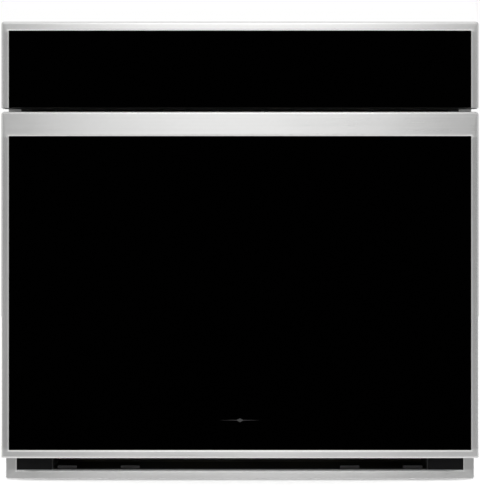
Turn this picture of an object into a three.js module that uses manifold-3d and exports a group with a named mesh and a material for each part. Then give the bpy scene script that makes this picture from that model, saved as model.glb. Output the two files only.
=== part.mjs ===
// A built-in electric wall oven with a handleless drop-down door and a touch control panel.
// Millimetres, +Z up. The front of the oven faces -Y. The origin is on the underside of the base,
// at the middle of its width and depth, where the oven stands on the floor of its cabinet cut-out.
import * as THREE from "three";
import { mergeVertices } from "three/addons/utils/BufferGeometryUtils.js";
import Module from "manifold-3d";

const wasm = await Module();
wasm.setup();

// ---------------------------------------------------------------- driving dimensions

const GAP = 0.3; // clearance between neighbouring pieces
const SHEET = 1.2; // chassis sheet metal

const body = {
  width: 718,
  depth: 590,
  sideOverlap: 18.8, // the front stands this far past each side of the body
  topOverlap: 28.3,
  bottomOverlap: 12.7,
  beadWidth: 16,
  beadDepth: 3,
};

const door = {
  height: 548.2,
  thickness: 42,
  bottomZ: 23.1,
  backGap: 10, // from the door's back to the cabinet's face
  skin: 1.5,
  sideBar: 11.8,
  bottomBar: 12.6,
  topBar: 38.4,
  glass: 4,
  panelGap: 6.2, // between the door and the control panel
};

const plug = { inset: 12, depth: 6 }; // the raised middle of the door's back, inside the cavity's mouth
const windowPane = {
  side: 75.7, // from the plug's side edges
  bottom: 84, // from its lower edge
  top: 98.2, // from its upper edge
  lap: 14,
  glass: 3,
};

const panel = { height: 136.8, topBar: 14.5, sideBar: 11.8, housingWall: 2 };

const display = { width: 190, height: 62, thickness: 12 };

const flange = { overlap: 10.6, inset: 9.4, sheet: 2, leg: 25, screwRadius: 2.6, screwFromEdge: 5 };

const trim = {
  overlap: 14.7,
  thickness: 3,
  bottomBar: 12.4,
  topZ: 60,
  topBar: 8,
  slotInset: 2,
  corner: 2.5,
};

const duct = { width: 600, depth: 170, topZ: 50, wall: 1, padX: [-277, -176, 176, 277] };
const pad = { length: 31, width: 20, height: 5.7, fromFront: 12 };

const vent = { height: 34, thickness: 1.5, slot: [36, 4], pitch: 42, count: 16, edge: 1.5 };

const sideVent = { length: 24, height: 6, pitch: 34, count: 6, fromBack: 60, belowTop: 60 };
const rearVent = {
  length: 44,
  height: 5,
  pitch: 60,
  rowPitch: 16,
  low: { x: -236, z: 60, count: 8, rows: 3 },
  high: { x: -280, belowTop: 70, count: 6, rows: 2 },
};
const topVent = { width: 6, length: 70, fromBack: 50, pitch: 42, count: 12 };
const baseRib = { shares: [0.42, 0.6, 0.78], width: 18, height: 4, inset: 40 };
const lip = { base: 22, deck: 12, top: 14 }; // folded edges of the chassis sheets

const cavity = {
  aboveDoorBottom: 54,
  belowDoorTop: 38,
  rearSpace: 105, // behind the cavity, for insulation, motor and air
  wall: 1.5,
  corner: 18,
};

const insulation = { side: 42, top: 40, rear: 30, frontInset: 28, elementRecess: 8 };

const gasket = { width: 10, fromMouth: 6, innerCorner: 24, outerCorner: 34 };

const rack = { count: 3, side: 3, slat: 2, slats: 19, rearClearance: 8, front: 30, upstand: 22 };
const guide = { wire: 3, rails: 7, wallGap: 2, rackClearance: 0.7, frontPost: 45, rearPostInset: 35 };

const fanCover = { width: 420, height: 310, depth: 42, sheet: 1.2 };
const fan = { radius: 70, blades: 8, bladeDepth: 20, hub: 14, shaft: 4 };
const fanMotor = { radius: 40, length: 55, flangeRadius: 58 };

const element = { radius: 3.4, margin: 55, dropFromCeiling: 22, terminal: 12 };
const bake = { passes: 6, front: 75, rear: 60, side: 85, belowCavity: 0.5 };
const broil = { passes: 10 };
const ringElement = { beyondFan: 28, from: -70, to: 250 }; // degrees round the fan

const lamp = { radius: 24, lens: 30, lensBulge: 7, depth: 38, fromFace: 215, belowCeiling: 78 };

const probe = { radius: 3, length: 85, x: -235, belowCeiling: 62 };

const deck = { aboveInsulation: 6, frontInset: 62 };

const blower = {
  wheel: 66,
  height: 60,
  wall: 1.5,
  clearance: 10,
  growth: 26,
  outlet: 150,
  x: -60,
  y: 105,
  motor: 32,
  blades: 20,
  shaft: 3,
};

const board = { width: 210, depth: 150, thickness: 1.6, standoff: 8, x: 205, y: -120, postInset: 8 };
const relay = { count: 5, x: -90, pitch: 26, width: 18, y: [20, 48], height: 20 };
const transformer = { x: [50, 92], y: [-50, -8], height: 34 };
const capacitor = { xs: [-70, -45], y: -40, radius: 9, height: 26 };

const gland = { radius: 15, bore: 9.5, length: 20, x: 262, belowTop: 52 };

const hinge = {
  x: 331, // from the middle of the oven to each hinge
  fromBack: 16, // pivot to the door's back
  fromBottom: 12, // pivot to the door's lower edge
  pin: 4,
  armThickness: 5,
  armHalf: 9,
  tail: 66,
  channelWidth: 18,
  channelWall: 1.5,
  channelLength: 122,
  channelClearance: 1.2, // from the channel to the glass
  camClearance: 2.5, // from the cam to the channel
  roller: 4,
  rod: 3,
  notchFromTail: 20,
  notchHalf: 5,
};
const spring = { wire: 1.1, radius: 4.9, turns: 9, stepsPerTurn: 9 };

const lock = { thickness: 3, width: 9, reach: 28, barb: 9, pivotBehindFace: 15, aboveMouth: 23 };

// ---------------------------------------------------------------- places worked out from them

const half = body.width / 2;
const frontHalf = half + body.sideOverlap;
const faceY = -body.depth / 2; // the cabinet's face, which the flanges rest on
const backY = body.depth / 2;
const doorFrontY = faceY - door.backGap - door.thickness;
const doorTopZ = door.bottomZ + door.height;
const panelZ = doorTopZ + door.panelGap;
const topZ = panelZ + panel.height;
const bodyTopZ = topZ - body.topOverlap;
const panelDepth = faceY - flange.sheet - GAP - doorFrontY;

const floorZ = door.bottomZ + cavity.aboveDoorBottom;
const ceilingZ = doorTopZ - cavity.belowDoorTop;
const cavityHeight = ceilingZ - floorZ;
const cavityDepth = body.depth - cavity.rearSpace;
const cavityHalf = half - SHEET - body.beadDepth - 2 * GAP - insulation.side - cavity.wall;
const mouthFrame = { inner: half - flange.inset - GAP, bottom: trim.topZ + GAP, top: doorTopZ - 1 };

const lockZ = ceilingZ + cavity.wall + 2 * GAP + insulation.top; // underside of the lock's motor

const hingeY = doorFrontY + door.thickness - hinge.fromBack;
const hingeZ = door.bottomZ + hinge.fromBottom;
const deckZ = ceilingZ + cavity.wall + GAP + insulation.top + deck.aboveInsulation;

// ---------------------------------------------------------------- materials

const finish = (color, roughness, metalness) =>
  new THREE.MeshStandardMaterial({ color, roughness, metalness });

const stainless = finish(0xc4c5c7, 0.34, 1);
const galvanised = finish(0xa9adb0, 0.45, 0.9);
const blackGlass = finish(0x050506, 0.05, 0);
const clearGlass = finish(0x9fb0aa, 0.04, 0);
const enamel = finish(0x15181f, 0.22, 0.1);
const blackPaint = finish(0x101113, 0.55, 0.1);
const blackPlastic = finish(0x141416, 0.5, 0);
const chromeWire = finish(0xd2d3d2, 0.2, 1);
const sheathedSteel = finish(0x4b4a48, 0.5, 0.7);
const hingeSteel = finish(0x8f9294, 0.38, 1);
const springSteel = finish(0x5b5e61, 0.35, 1);
const glassWool = finish(0xd9cf9f, 0.95, 0);
const wovenSeal = finish(0x6e6f6c, 0.9, 0);
const circuit = finish(0x1d5a36, 0.55, 0);
const porcelain = finish(0xe6e2d8, 0.35, 0);

// ---------------------------------------------------------------- solids

/** A manifold solid made from a closed three.js geometry. */
function solid(geometry) {
  const bare = geometry.index ? geometry.toNonIndexed() : geometry.clone();
  bare.deleteAttribute("normal");
  bare.deleteAttribute("uv");
  const merged = mergeVertices(bare, 1e-4);
  return new wasm.Manifold(
    new wasm.Mesh({
      numProp: 3,
      vertProperties: new Float32Array(merged.attributes.position.array),
      triVerts: new Uint32Array(merged.index.array),
    }),
  );
}

const join = (first, ...rest) => rest.flat().reduce((sum, next) => sum.add(next), first);
const cut = (from, ...tools) => tools.flat().reduce((left, tool) => left.subtract(tool), from);

/** Gives a geometry that runs from 0 to 1 on one axis two exact values there instead. */
function stretch(geometry, axis, from, to) {
  const position = geometry.attributes.position;
  for (let i = 0; i < position.count; i++) {
    position.setComponent(i, axis, position.getComponent(i, axis) < 0.5 ? from : to);
  }
}

/** A block between two x, two y and two z values. */
function block(...spans) {
  const geometry = new THREE.BoxGeometry(1, 1, 1).translate(0.5, 0.5, 0.5);
  spans.forEach(([from, to], axis) => stretch(geometry, axis, from, to));
  return solid(geometry);
}

/** A round bar from one point to another. */
function bar(from, to, radius, sides = 16) {
  const start = new THREE.Vector3(...from);
  const run = new THREE.Vector3(...to).sub(start);
  const geometry = new THREE.CylinderGeometry(radius, radius, run.length(), sides);
  geometry.translate(0, run.length() / 2, 0);
  const turn = new THREE.Quaternion().setFromUnitVectors(new THREE.Vector3(0, 1, 0), run.normalize());
  return solid(geometry.applyQuaternion(turn).translate(...from));
}

const AXES = {
  x: [new THREE.Vector3(0, 1, 0), new THREE.Vector3(0, 0, 1), new THREE.Vector3(1, 0, 0)],
  y: [new THREE.Vector3(1, 0, 0), new THREE.Vector3(0, 0, 1), new THREE.Vector3(0, -1, 0)],
  z: [new THREE.Vector3(1, 0, 0), new THREE.Vector3(0, 1, 0), new THREE.Vector3(0, 0, 1)],
};

/** A flat shape made into a plate between two values on one axis. Its own x and y lie on the other two. */
function plate(shape, axis, [from, to], curveSegments = 4) {
  const geometry = new THREE.ExtrudeGeometry(shape, { depth: 1, bevelEnabled: false, curveSegments });
  stretch(geometry, 2, ...(axis === "y" ? [-to, -from] : [from, to]));
  return solid(geometry.applyMatrix4(new THREE.Matrix4().makeBasis(...AXES[axis])));
}

/** A rectangle with round corners, centred on u = 0. */
function roundedRect(halfWidth, v0, v1, radius) {
  const shape = new THREE.Shape();
  const r = Math.min(radius, halfWidth, (v1 - v0) / 2);
  shape.moveTo(-halfWidth + r, v0);
  shape.lineTo(halfWidth - r, v0);
  shape.absarc(halfWidth - r, v0 + r, r, -Math.PI / 2, 0);
  shape.lineTo(halfWidth, v1 - r);
  shape.absarc(halfWidth - r, v1 - r, r, 0, Math.PI / 2);
  shape.lineTo(-halfWidth + r, v1);
  shape.absarc(-halfWidth + r, v1 - r, r, Math.PI / 2, Math.PI);
  shape.lineTo(-halfWidth, v0 + r);
  shape.absarc(-halfWidth + r, v0 + r, r, Math.PI, 1.5 * Math.PI);
  return shape;
}

/** A path through points, which a wire follows with one section at each of them. */
class WirePath extends THREE.Curve {
  constructor(points) {
    super();
    this.points = points.map((p) => new THREE.Vector3(...p));
  }
  getPoint(t) {
    const at = t * (this.points.length - 1);
    const i = Math.min(Math.floor(at), this.points.length - 2);
    return this.points[i].clone().lerp(this.points[i + 1], at - i);
  }
  getPointAt(u) {
    return this.getPoint(u);
  }
  getTangentAt(u) {
    const i = Math.round(u * (this.points.length - 1));
    const before = this.points[Math.max(i - 1, 0)];
    const after = this.points[Math.min(i + 1, this.points.length - 1)];
    return after.clone().sub(before).normalize();
  }
}

/** A wire of round section along points. */
function wire(points, radius, sides = 8) {
  const section = new THREE.Shape(
    Array.from({ length: sides }, (_, i) => {
      const angle = (2 * Math.PI * (i + 0.5)) / sides;
      return new THREE.Vector2(radius * Math.cos(angle), radius * Math.sin(angle));
    }),
  );
  const extrudePath = new WirePath(points);
  const steps = points.length - 1;
  return solid(new THREE.ExtrudeGeometry(section, { steps, extrudePath, bevelEnabled: false }));
}

/** Points of an arc in the XY plane at height z, in degrees. */
const arc = (cx, cy, z, radius, from, to, steps) =>
  Array.from({ length: steps + 1 }, (_, i) => {
    const angle = THREE.MathUtils.degToRad(from + ((to - from) * i) / steps);
    return [cx + radius * Math.cos(angle), cy + radius * Math.sin(angle), z];
  });

/** A turned solid about +Z from a profile of radius and height. */
const turned = (profile, sides = 24) =>
  solid(
    new THREE.LatheGeometry(
      profile.map(([r, z]) => new THREE.Vector2(r, z)),
      sides,
    ).rotateX(Math.PI / 2),
  );

const TURNS = { x: [0, 90, 0], minusX: [0, -90, 0], minusY: [90, 0, 0] };

/** The same solid with +Z turned onto another axis. */
const facing = (made, axis) => made.rotate(TURNS[axis]);

/** A named mesh of a solid. */
function piece(name, made, material, place = [0, 0, 0]) {
  const { numProp, vertProperties, triVerts } = made.getMesh();
  const position = new Float32Array((vertProperties.length / numProp) * 3);
  for (let i = 0; i < position.length / 3; i++) {
    position.set(vertProperties.subarray(i * numProp, i * numProp + 3), i * 3);
  }
  const geometry = new THREE.BufferGeometry();
  geometry.setAttribute("position", new THREE.BufferAttribute(position, 3));
  geometry.setIndex(new THREE.BufferAttribute(triVerts, 1));
  geometry.computeVertexNormals();
  const mesh = new THREE.Mesh(geometry, material);
  mesh.name = name;
  mesh.position.set(...place);
  return mesh;
}

function group(place, ...members) {
  const made = new THREE.Group();
  made.position.set(...place);
  made.add(...members.flat());
  return made;
}

const SIDES = [
  ["left", -1],
  ["right", 1],
];
const span = (side, near, far) => (side < 0 ? [-far, -near] : [near, far]);

// ---------------------------------------------------------------- chassis

/** Two beads pressed inwards across a sheet that stands at a side (+1 or -1) of the body. */
function beaded(sheet, side, faceX, [y0, y1], levels) {
  return levels.reduce((made, z) => {
    const along = [y0 + 30, y1 - 30];
    const across = span(side, faceX - SHEET - body.beadDepth, faceX - SHEET / 2);
    const bulge = block(across, along, [z, z + body.beadWidth]);
    const hollow = block(
      span(side, faceX - body.beadDepth, faceX + 1),
      [along[0] + SHEET, along[1] - SHEET],
      [z + SHEET, z + body.beadWidth - SHEET],
    );
    return made.add(bulge).subtract(hollow);
  }, sheet);
}

function sidePanel([name, side]) {
  const sheet = block(span(side, half - SHEET, half), [faceY + GAP, backY], [0, bodyTopZ]);
  const slotZ = bodyTopZ - sideVent.belowTop;
  const slots = Array.from({ length: sideVent.count }, (_, i) => {
    const y = backY - sideVent.fromBack - i * sideVent.pitch;
    return block(span(side, half - 5, half + 5), [y - sideVent.length, y], [slotZ, slotZ + sideVent.height]);
  });
  const levels = [bodyTopZ * 0.2, bodyTopZ * 0.52];
  const pressed = beaded(sheet, side, half, [faceY + 60, backY], levels);
  return piece(`side_panel_${name}`, cut(pressed, slots), galvanised);
}

function basePan() {
  const inner = half - SHEET - GAP;
  const rear = backY - SHEET - GAP;
  const floor = block([-inner, inner], [faceY + GAP, rear], [0, SHEET]);
  const lipX = inner - 2 * SHEET;
  const lips = SIDES.map(([, side]) =>
    block(span(side, lipX - SHEET, lipX), [faceY + 70, rear - 2 * SHEET], [SHEET / 2, lip.base]),
  );
  const rearLip = block(
    [-lipX + 0.5, lipX - 0.5],
    [rear - 3 * SHEET, rear - 2 * SHEET - 0.4],
    [SHEET / 2, lip.base - 1],
  );
  const ribX = inner - baseRib.inset;
  const ribs = baseRib.shares.map((share) => {
    const y = faceY + body.depth * share;
    return block([-ribX, ribX], [y, y + baseRib.width], [SHEET / 2, SHEET + baseRib.height]);
  });
  return piece("base_pan", join(floor, lips, rearLip, ribs), galvanised);
}

const glandPlace = [gland.x, backY, bodyTopZ - gland.belowTop];

function rearPanel() {
  const inner = half - SHEET - GAP;
  const sheet = block([-inner, inner], [backY - SHEET, backY], [SHEET + GAP, bodyTopZ - SHEET - GAP]);
  const slots = ({ x, count, rows }, z) =>
    Array.from({ length: count * rows }, (_, i) => {
      const x0 = x + Math.floor(i / rows) * rearVent.pitch;
      const z0 = z + (i % rows) * rearVent.rowPitch;
      return block([x0, x0 + rearVent.length], [backY - 6, backY + 1], [z0, z0 + rearVent.height]);
    });
  const low = slots(rearVent.low, rearVent.low.z);
  const high = slots(rearVent.high, bodyTopZ - rearVent.high.belowTop);
  const [x, y, z] = glandPlace;
  const cable = bar([x, y - 6, z], [x, y + 6, z], gland.bore + GAP);
  return piece("rear_panel", cut(sheet, low, high, cable), galvanised);
}

function topPanel() {
  const inner = half - SHEET - GAP;
  const sheet = block([-inner, inner], [faceY + 4, backY - SHEET - GAP], [bodyTopZ - SHEET, bodyTopZ]);
  const frontLip = block(
    [-inner + 4, inner - 4],
    [faceY + 6, faceY + 6 + SHEET],
    [bodyTopZ - lip.top, bodyTopZ - SHEET / 2],
  );
  const slotY = backY - topVent.fromBack;
  const slots = Array.from({ length: topVent.count }, (_, i) => {
    const x = (i - (topVent.count - 1) / 2) * topVent.pitch;
    const across = [x - topVent.width / 2, x + topVent.width / 2];
    return block(across, [slotY - topVent.length, slotY], [bodyTopZ - 3, bodyTopZ + 1]);
  });
  return piece("top_panel", cut(join(sheet, frontLip), slots), galvanised);
}

function serviceDeck() {
  const inner = half - SHEET - GAP;
  const front = faceY + deck.frontInset;
  const sheet = block([-inner, inner], [front, backY - SHEET - GAP], [deckZ, deckZ + SHEET]);
  const lips = SIDES.map(([, side]) =>
    block(span(side, inner - SHEET, inner), [front, backY - 60], [deckZ, deckZ + lip.deck]),
  );
  return piece("service_deck", join(sheet, lips), galvanised);
}

function mountingFlange([name, side]) {
  const outer = half + flange.overlap;
  const z = [trim.topZ + GAP, topZ - 4];
  const legInner = half - 2 * SHEET - GAP;
  const strip = block(span(side, half - flange.inset, half + 1), [faceY - flange.sheet, faceY - GAP], z);
  const onCabinet = block(span(side, half + GAP, outer), [faceY - flange.sheet, faceY], z);
  const leg = block(
    span(side, legInner, legInner + SHEET),
    [faceY - flange.sheet / 2, faceY + flange.leg],
    [z[0], bodyTopZ - 16],
  );
  const holeX = side * (outer - flange.screwFromEdge);
  const screws = [0.1, 0.48, 0.86].map((share) => {
    const at = z[0] + (panelZ - z[0]) * share;
    return bar([holeX, faceY - 5, at], [holeX, faceY + 5, at], flange.screwRadius, 12);
  });
  return piece(`mounting_flange_${name}`, cut(join(strip, onCabinet, leg), screws), stainless);
}

function lowerVentTrim() {
  const outer = roundedRect(half + trim.overlap, -body.bottomOverlap, trim.topZ, trim.corner);
  const slotZ = [trim.bottomBar - body.bottomOverlap, trim.topZ - trim.topBar];
  const slot = block([-half + trim.slotInset, half - trim.slotInset], [faceY - 20, faceY + 20], slotZ);
  return piece("lower_vent_trim", cut(plate(outer, "y", [faceY - trim.thickness, faceY]), slot), stainless);
}

function lowerVentDuct() {
  const w = duct.width / 2;
  const y = [faceY + 1, faceY + 1 + duct.depth];
  const z0 = SHEET + GAP;
  const t = duct.wall;
  const inside = block([-w + t, w - t], [y[0] - 1, y[1] + 1], [z0 + t, duct.topZ - t]);
  const tube = cut(block([-w, w], y, [z0, duct.topZ]), inside);
  const padY = y[0] + pad.fromFront;
  const pads = duct.padX.map((x) =>
    block([x - pad.length / 2, x + pad.length / 2], [padY, padY + pad.width], [z0 + t / 2, z0 + pad.height]),
  );
  return piece("lower_vent_duct", join(tube, pads), blackPaint);
}

function upperVentGrille() {
  const z0 = mouthFrame.top + GAP;
  const w = mouthFrame.inner;
  const sheet = block([-w, w], [faceY - vent.thickness, faceY], [z0, z0 + vent.height]);
  const [slotLength, slotHeight] = vent.slot;
  const slotZ = z0 + vent.edge;
  const slots = Array.from({ length: vent.count }, (_, i) => {
    const x = (i - (vent.count - 1) / 2) * vent.pitch;
    const across = [x - slotLength / 2, x + slotLength / 2];
    return block(across, [faceY - 5, faceY + 5], [slotZ, slotZ + slotHeight]);
  });
  return piece("upper_vent_grille", cut(sheet, slots), blackPaint);
}

const chassis = () => [
  basePan(),
  SIDES.map(sidePanel),
  rearPanel(),
  topPanel(),
  serviceDeck(),
  SIDES.map(mountingFlange),
  lowerVentTrim(),
  lowerVentDuct(),
  upperVentGrille(),
];

// ---------------------------------------------------------------- cavity, in its own frame
// y = 0 is the cabinet's face and z = 0 the cavity's floor.

const lampPlace = { y: lamp.fromFace, z: cavityHeight - lamp.belowCeiling };
const fanZ = cavityHeight / 2;

function cavityLiner() {
  const front = -flange.sheet;
  const frame = block(
    [-mouthFrame.inner, mouthFrame.inner],
    [front, front + cavity.wall],
    [mouthFrame.bottom - floorZ, mouthFrame.top - floorZ],
  );
  const t = cavity.wall;
  const outline = (grow) => roundedRect(cavityHalf + grow, -grow, cavityHeight + grow, cavity.corner + grow);
  const shell = plate(outline(t), "y", [front, cavityDepth + t]);
  const inside = plate(outline(0), "y", [front - 1, cavityDepth]);
  const lampHoles = SIDES.map(([, side]) => {
    const x = side * cavityHalf;
    return bar([x - 5, lampPlace.y, lampPlace.z], [x + 5, lampPlace.y, lampPlace.z], lamp.radius);
  });
  const shaftHole = bar([0, cavityDepth - 5, fanZ], [0, cavityDepth + 5, fanZ], fan.shaft + 4);
  const hookZ = cavityHeight + lock.aboveMouth;
  const hookSlot = block([-8, 13], [front - 2, front + 4], [hookZ - 4, hookZ + lock.thickness + 4]);
  return piece("cavity_liner", cut(join(frame, shell), inside, lampHoles, shaftHole, hookSlot), enamel);
}

function cavityGasket() {
  const y = [-door.backGap + GAP, -flange.sheet - GAP];
  const outline = (grow, corner) => roundedRect(cavityHalf + grow, -grow, cavityHeight + grow, corner);
  const ring = plate(outline(gasket.fromMouth + gasket.width, gasket.outerCorner), "y", y);
  const mouth = plate(outline(gasket.fromMouth, gasket.innerCorner), "y", [y[0] - 1, y[1] + 1]);
  return piece("cavity_gasket", cut(ring, mouth), wovenSeal);
}

function insulationWrap() {
  const inner = cavityHalf + cavity.wall + GAP;
  const bottom = duct.topZ + GAP - floorZ;
  const top = cavityHeight + cavity.wall + GAP + insulation.top;
  const y = [insulation.frontInset, cavityDepth + cavity.wall];
  const outside = block([-inner - insulation.side, inner + insulation.side], y, [bottom, top]);
  const core = plate(
    roundedRect(inner, -cavity.wall - GAP, cavityHeight + cavity.wall + GAP, cavity.corner + cavity.wall),
    "y",
    [y[0] - 1, y[1] + 1],
  );
  const recessZ = -cavity.wall - GAP - insulation.elementRecess;
  const recess = block([-inner + 60, inner - 60], [60, cavityDepth - 40], [recessZ, 0]);
  const lamps = SIDES.map(([, side]) =>
    bar(
      [side * cavityHalf, lampPlace.y, lampPlace.z],
      [side * (half + 10), lampPlace.y, lampPlace.z],
      lamp.radius + 5,
    ),
  );
  return piece("insulation_wrap", cut(outside, core, recess, lamps), glassWool);
}

function insulationRear() {
  const y0 = cavityDepth + cavity.wall + GAP;
  const w = cavityHalf - 10;
  const slab = block([-w, w], [y0, y0 + insulation.rear], [-8, cavityHeight + 20]);
  const motorHole = bar([0, y0 - 1, fanZ], [0, y0 + insulation.rear + 1, fanZ], fanMotor.flangeRadius + 2);
  return piece("insulation_rear", cut(slab, motorHole), glassWool);
}

/** A heating rod that runs back and forth over a width, with both ends at the rear. */
function serpentine(z, y0, y1, halfWidth, passes, radius) {
  const pitch = (2 * halfWidth) / (passes - 1);
  const bend = pitch / 2;
  const turnY = y1 - bend - element.terminal; // the terminals stand behind the rear bends
  const points = [];
  for (let i = 0; i < passes; i++) {
    const x = -halfWidth + i * pitch;
    const forward = i % 2 === 0;
    const ends = forward ? [turnY, y0 + bend] : [y0 + bend, turnY];
    if (i === 0) ends[0] = y1;
    if (i === passes - 1) ends[1] = y1;
    points.push([x, ends[0], z], [x, ends[1], z]);
    if (i < passes - 1) {
      const [from, to] = forward ? [180, 360] : [180, 0];
      points.push(...arc(x + bend, ends[1], z, bend, from, to, 6).slice(1, -1));
    }
  }
  return wire(points, radius);
}

function bakeElement() {
  const z = -cavity.wall - GAP - element.radius - bake.belowCavity;
  const y = [bake.front, cavityDepth - bake.rear];
  const rod = serpentine(z, ...y, cavityHalf - bake.side, bake.passes, element.radius);
  return piece("bake_element", rod, sheathedSteel);
}

function broilElement() {
  const z = cavityHeight - element.dropFromCeiling;
  const y = [element.margin, cavityDepth - GAP];
  const rod = serpentine(z, ...y, cavityHalf - element.margin, broil.passes, element.radius);
  return piece("broil_element", rod, sheathedSteel);
}

function convectionElement() {
  const { beyondFan, from, to } = ringElement;
  const y = cavityDepth - fanCover.depth / 2;
  const loop = arc(0, 0, 0, fan.radius + beyondFan, from, to, 32).map(([x, z]) => [x, y, fanZ + z]);
  const leg = ([x, , z]) => [x, cavityDepth - GAP, z];
  const points = [leg(loop[0]), ...loop, leg(loop.at(-1))];
  return piece("convection_element", wire(points, element.radius), sheathedSteel);
}

function fanCoverPan() {
  const w = fanCover.width / 2;
  const z = [fanZ - fanCover.height / 2, fanZ + fanCover.height / 2];
  const y = [cavityDepth - fanCover.depth, cavityDepth - GAP];
  const t = fanCover.sheet;
  const pan = cut(
    plate(roundedRect(w, z[0], z[1], 14), "y", y),
    plate(roundedRect(w - t, z[0] + t, z[1] - t, 13), "y", [y[0] + t, y[1] + 1]),
  );
  const intake = Array.from({ length: 5 }, (_, i) => {
    const height = (i - 2) * 20;
    const reach = Math.sqrt(fan.radius ** 2 - height ** 2) - 6;
    return [-1, 1].map((side) =>
      block(span(side, 4, reach), [y[0] - 1, y[0] + t + 1], [fanZ + height - 4, fanZ + height + 4]),
    );
  }).flat();
  const outlets = [-1, 1].flatMap((side) =>
    Array.from({ length: 6 }, (_, i) => {
      const at = z[0] + 45 + i * 44;
      return block(span(side, w - 5, w + 5), [y[0] + 12, y[0] + 24], [at - 14, at + 14]);
    }),
  );
  return piece("fan_cover", cut(pan, intake, outlets), enamel);
}

function convectionFan() {
  const back = cavityDepth - 10;
  const disc = facing(
    turned([
      [0, 0],
      [fan.radius, 0],
      [fan.radius, 1.5],
      [0, 1.5],
    ]),
    "minusY",
  ).translate([0, back, 0]);
  const blade = block([22, fan.radius - 2], [back - 1.5 - fan.bladeDepth, back - 0.5], [-0.8, 0.8]);
  const blades = Array.from({ length: fan.blades }, (_, i) => blade.rotate([0, (360 * i) / fan.blades, 0]));
  const hub = bar([0, back - 18, 0], [0, back, 0], fan.hub);
  const shaft = bar([0, back - 1, 0], [0, cavityDepth + 40, 0], fan.shaft);
  return piece("convection_fan", join(disc, blades, hub, shaft), hingeSteel, [0, 0, fanZ]);
}

function convectionMotor() {
  const y0 = cavityDepth + cavity.wall + GAP;
  const ring = bar([0, y0, 0], [0, y0 + 2, 0], fanMotor.flangeRadius, 24);
  const can = bar([0, y0 + 1, 0], [0, y0 + fanMotor.length, 0], fanMotor.radius, 24);
  const lamination = block([-34, 34], [y0 + 20, y0 + 40], [-47, 47]);
  const bore = bar([0, y0 - 1, 0], [0, cavityDepth + 42, 0], fan.shaft + GAP);
  return piece("convection_motor", cut(join(ring, can, lamination), bore), springSteel, [0, 0, fanZ]);
}

function lampSet([name, side]) {
  const outside = cavityHalf + cavity.wall + GAP;
  const toWall = side > 0 ? "x" : "minusX";
  const cup = turned([
    [0, lamp.depth],
    [lamp.radius - 4, lamp.depth],
    [lamp.radius - 4, 3],
    [lamp.radius + 3, 3],
    [lamp.radius + 3, 0],
    [lamp.radius - 6, 0],
    [lamp.radius - 6, lamp.depth - 3],
    [0, lamp.depth - 3],
  ].reverse());
  const lens = turned([
    [0, lamp.lensBulge],
    [lamp.lens * 0.55, lamp.lensBulge * 0.85],
    [lamp.lens * 0.9, lamp.lensBulge * 0.35],
    [lamp.lens, 0],
    [0, 0],
  ].reverse());
  const toCavity = side > 0 ? "minusX" : "x";
  const at = (x) => [side * x, lampPlace.y, lampPlace.z];
  return [
    piece(`lamp_housing_${name}`, facing(cup, toWall), porcelain, at(outside)),
    piece(`lamp_lens_${name}`, facing(lens, toCavity), clearGlass, at(cavityHalf - GAP)),
  ];
}

function temperatureSensor() {
  const z = cavityHeight - probe.belowCeiling;
  const x = probe.x;
  const tube = bar([x, cavityDepth - probe.length, z], [x, cavityDepth - 1, z], probe.radius, 12);
  const foot = block([x - 11, x + 11], [cavityDepth - 2, cavityDepth - GAP], [z - 9, z + 9]);
  return piece("temperature_sensor", join(tube, foot), chromeWire);
}

const rackDepth = cavityDepth - fanCover.depth - rack.rearClearance - rack.front;
const postX = cavityHalf - guide.wallGap - guide.wire;
const rackSideX = postX - guide.wire - guide.rackClearance - rack.side;
const railX = postX - 2 * guide.wire + 0.8;
const railPitch = cavityHeight / (guide.rails + 1);
const railZ = (i) => railPitch * (i + 0.55);

function rackGuide([name, side]) {
  const y = [guide.frontPost, rack.front + rackDepth - guide.rearPostInset];
  const reach = [railZ(0) - 12, railZ(guide.rails - 1) + 12];
  const x = side * postX;
  const posts = y.map((at) => bar([x, at, reach[0]], [x, at, reach[1]], guide.wire, 8));
  const rails = Array.from({ length: guide.rails }, (_, i) =>
    bar([side * railX, y[0] - 12, railZ(i)], [side * railX, y[1] + 12, railZ(i)], guide.wire, 8),
  );
  return piece(`rack_guide_${name}`, join(posts[0], posts[1], rails), chromeWire);
}

/** A wire rack whose front is at y = 0 and whose side wires are at z = 0. */
function wireRack(name, level) {
  const d = rackDepth;
  const x = rackSideX;
  const sides = [-x, x].map((at) => bar([at, -1, 0], [at, d + 1, 0], rack.side, 8));
  const across = [0, d * 0.5, d].map((y) => bar([-x - 1, y, 0], [x + 1, y, 0], rack.side, 8));
  const pitch = (2 * x) / (rack.slats + 1);
  const slats = Array.from({ length: rack.slats }, (_, i) => {
    const at = -x + pitch * (i + 1);
    return bar([at, -1, rack.side], [at, d + 1, rack.side], rack.slat, 6);
  });
  const posts = [-x + 20, x - 20].map((at) => bar([at, d, 0], [at, d, rack.upstand], rack.side, 8));
  const stop = bar([-x + 15, d, rack.upstand], [x - 15, d, rack.upstand], rack.side, 8);
  const z = railZ(level) + guide.wire + rack.side + GAP;
  return piece(name, join(sides[0], sides[1], across, slats, posts, stop), chromeWire, [0, rack.front, z]);
}

const RACK_NAMES = ["rack_lower", "rack_middle", "rack_upper"];
const rackLevel = (i) => 1 + 2 * i;

const cavityPieces = () =>
  group(
    [0, faceY, floorZ],
    cavityLiner(),
    cavityGasket(),
    insulationWrap(),
    insulationRear(),
    bakeElement(),
    broilElement(),
    convectionElement(),
    fanCoverPan(),
    convectionFan(),
    convectionMotor(),
    SIDES.flatMap(lampSet),
    temperatureSensor(),
    SIDES.map(rackGuide),
    RACK_NAMES.slice(0, rack.count).map((name, i) => wireRack(name, rackLevel(i))),
  );

// ---------------------------------------------------------------- blower and electronics, above the deck
// z = 0 is the top of the deck.

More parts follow.
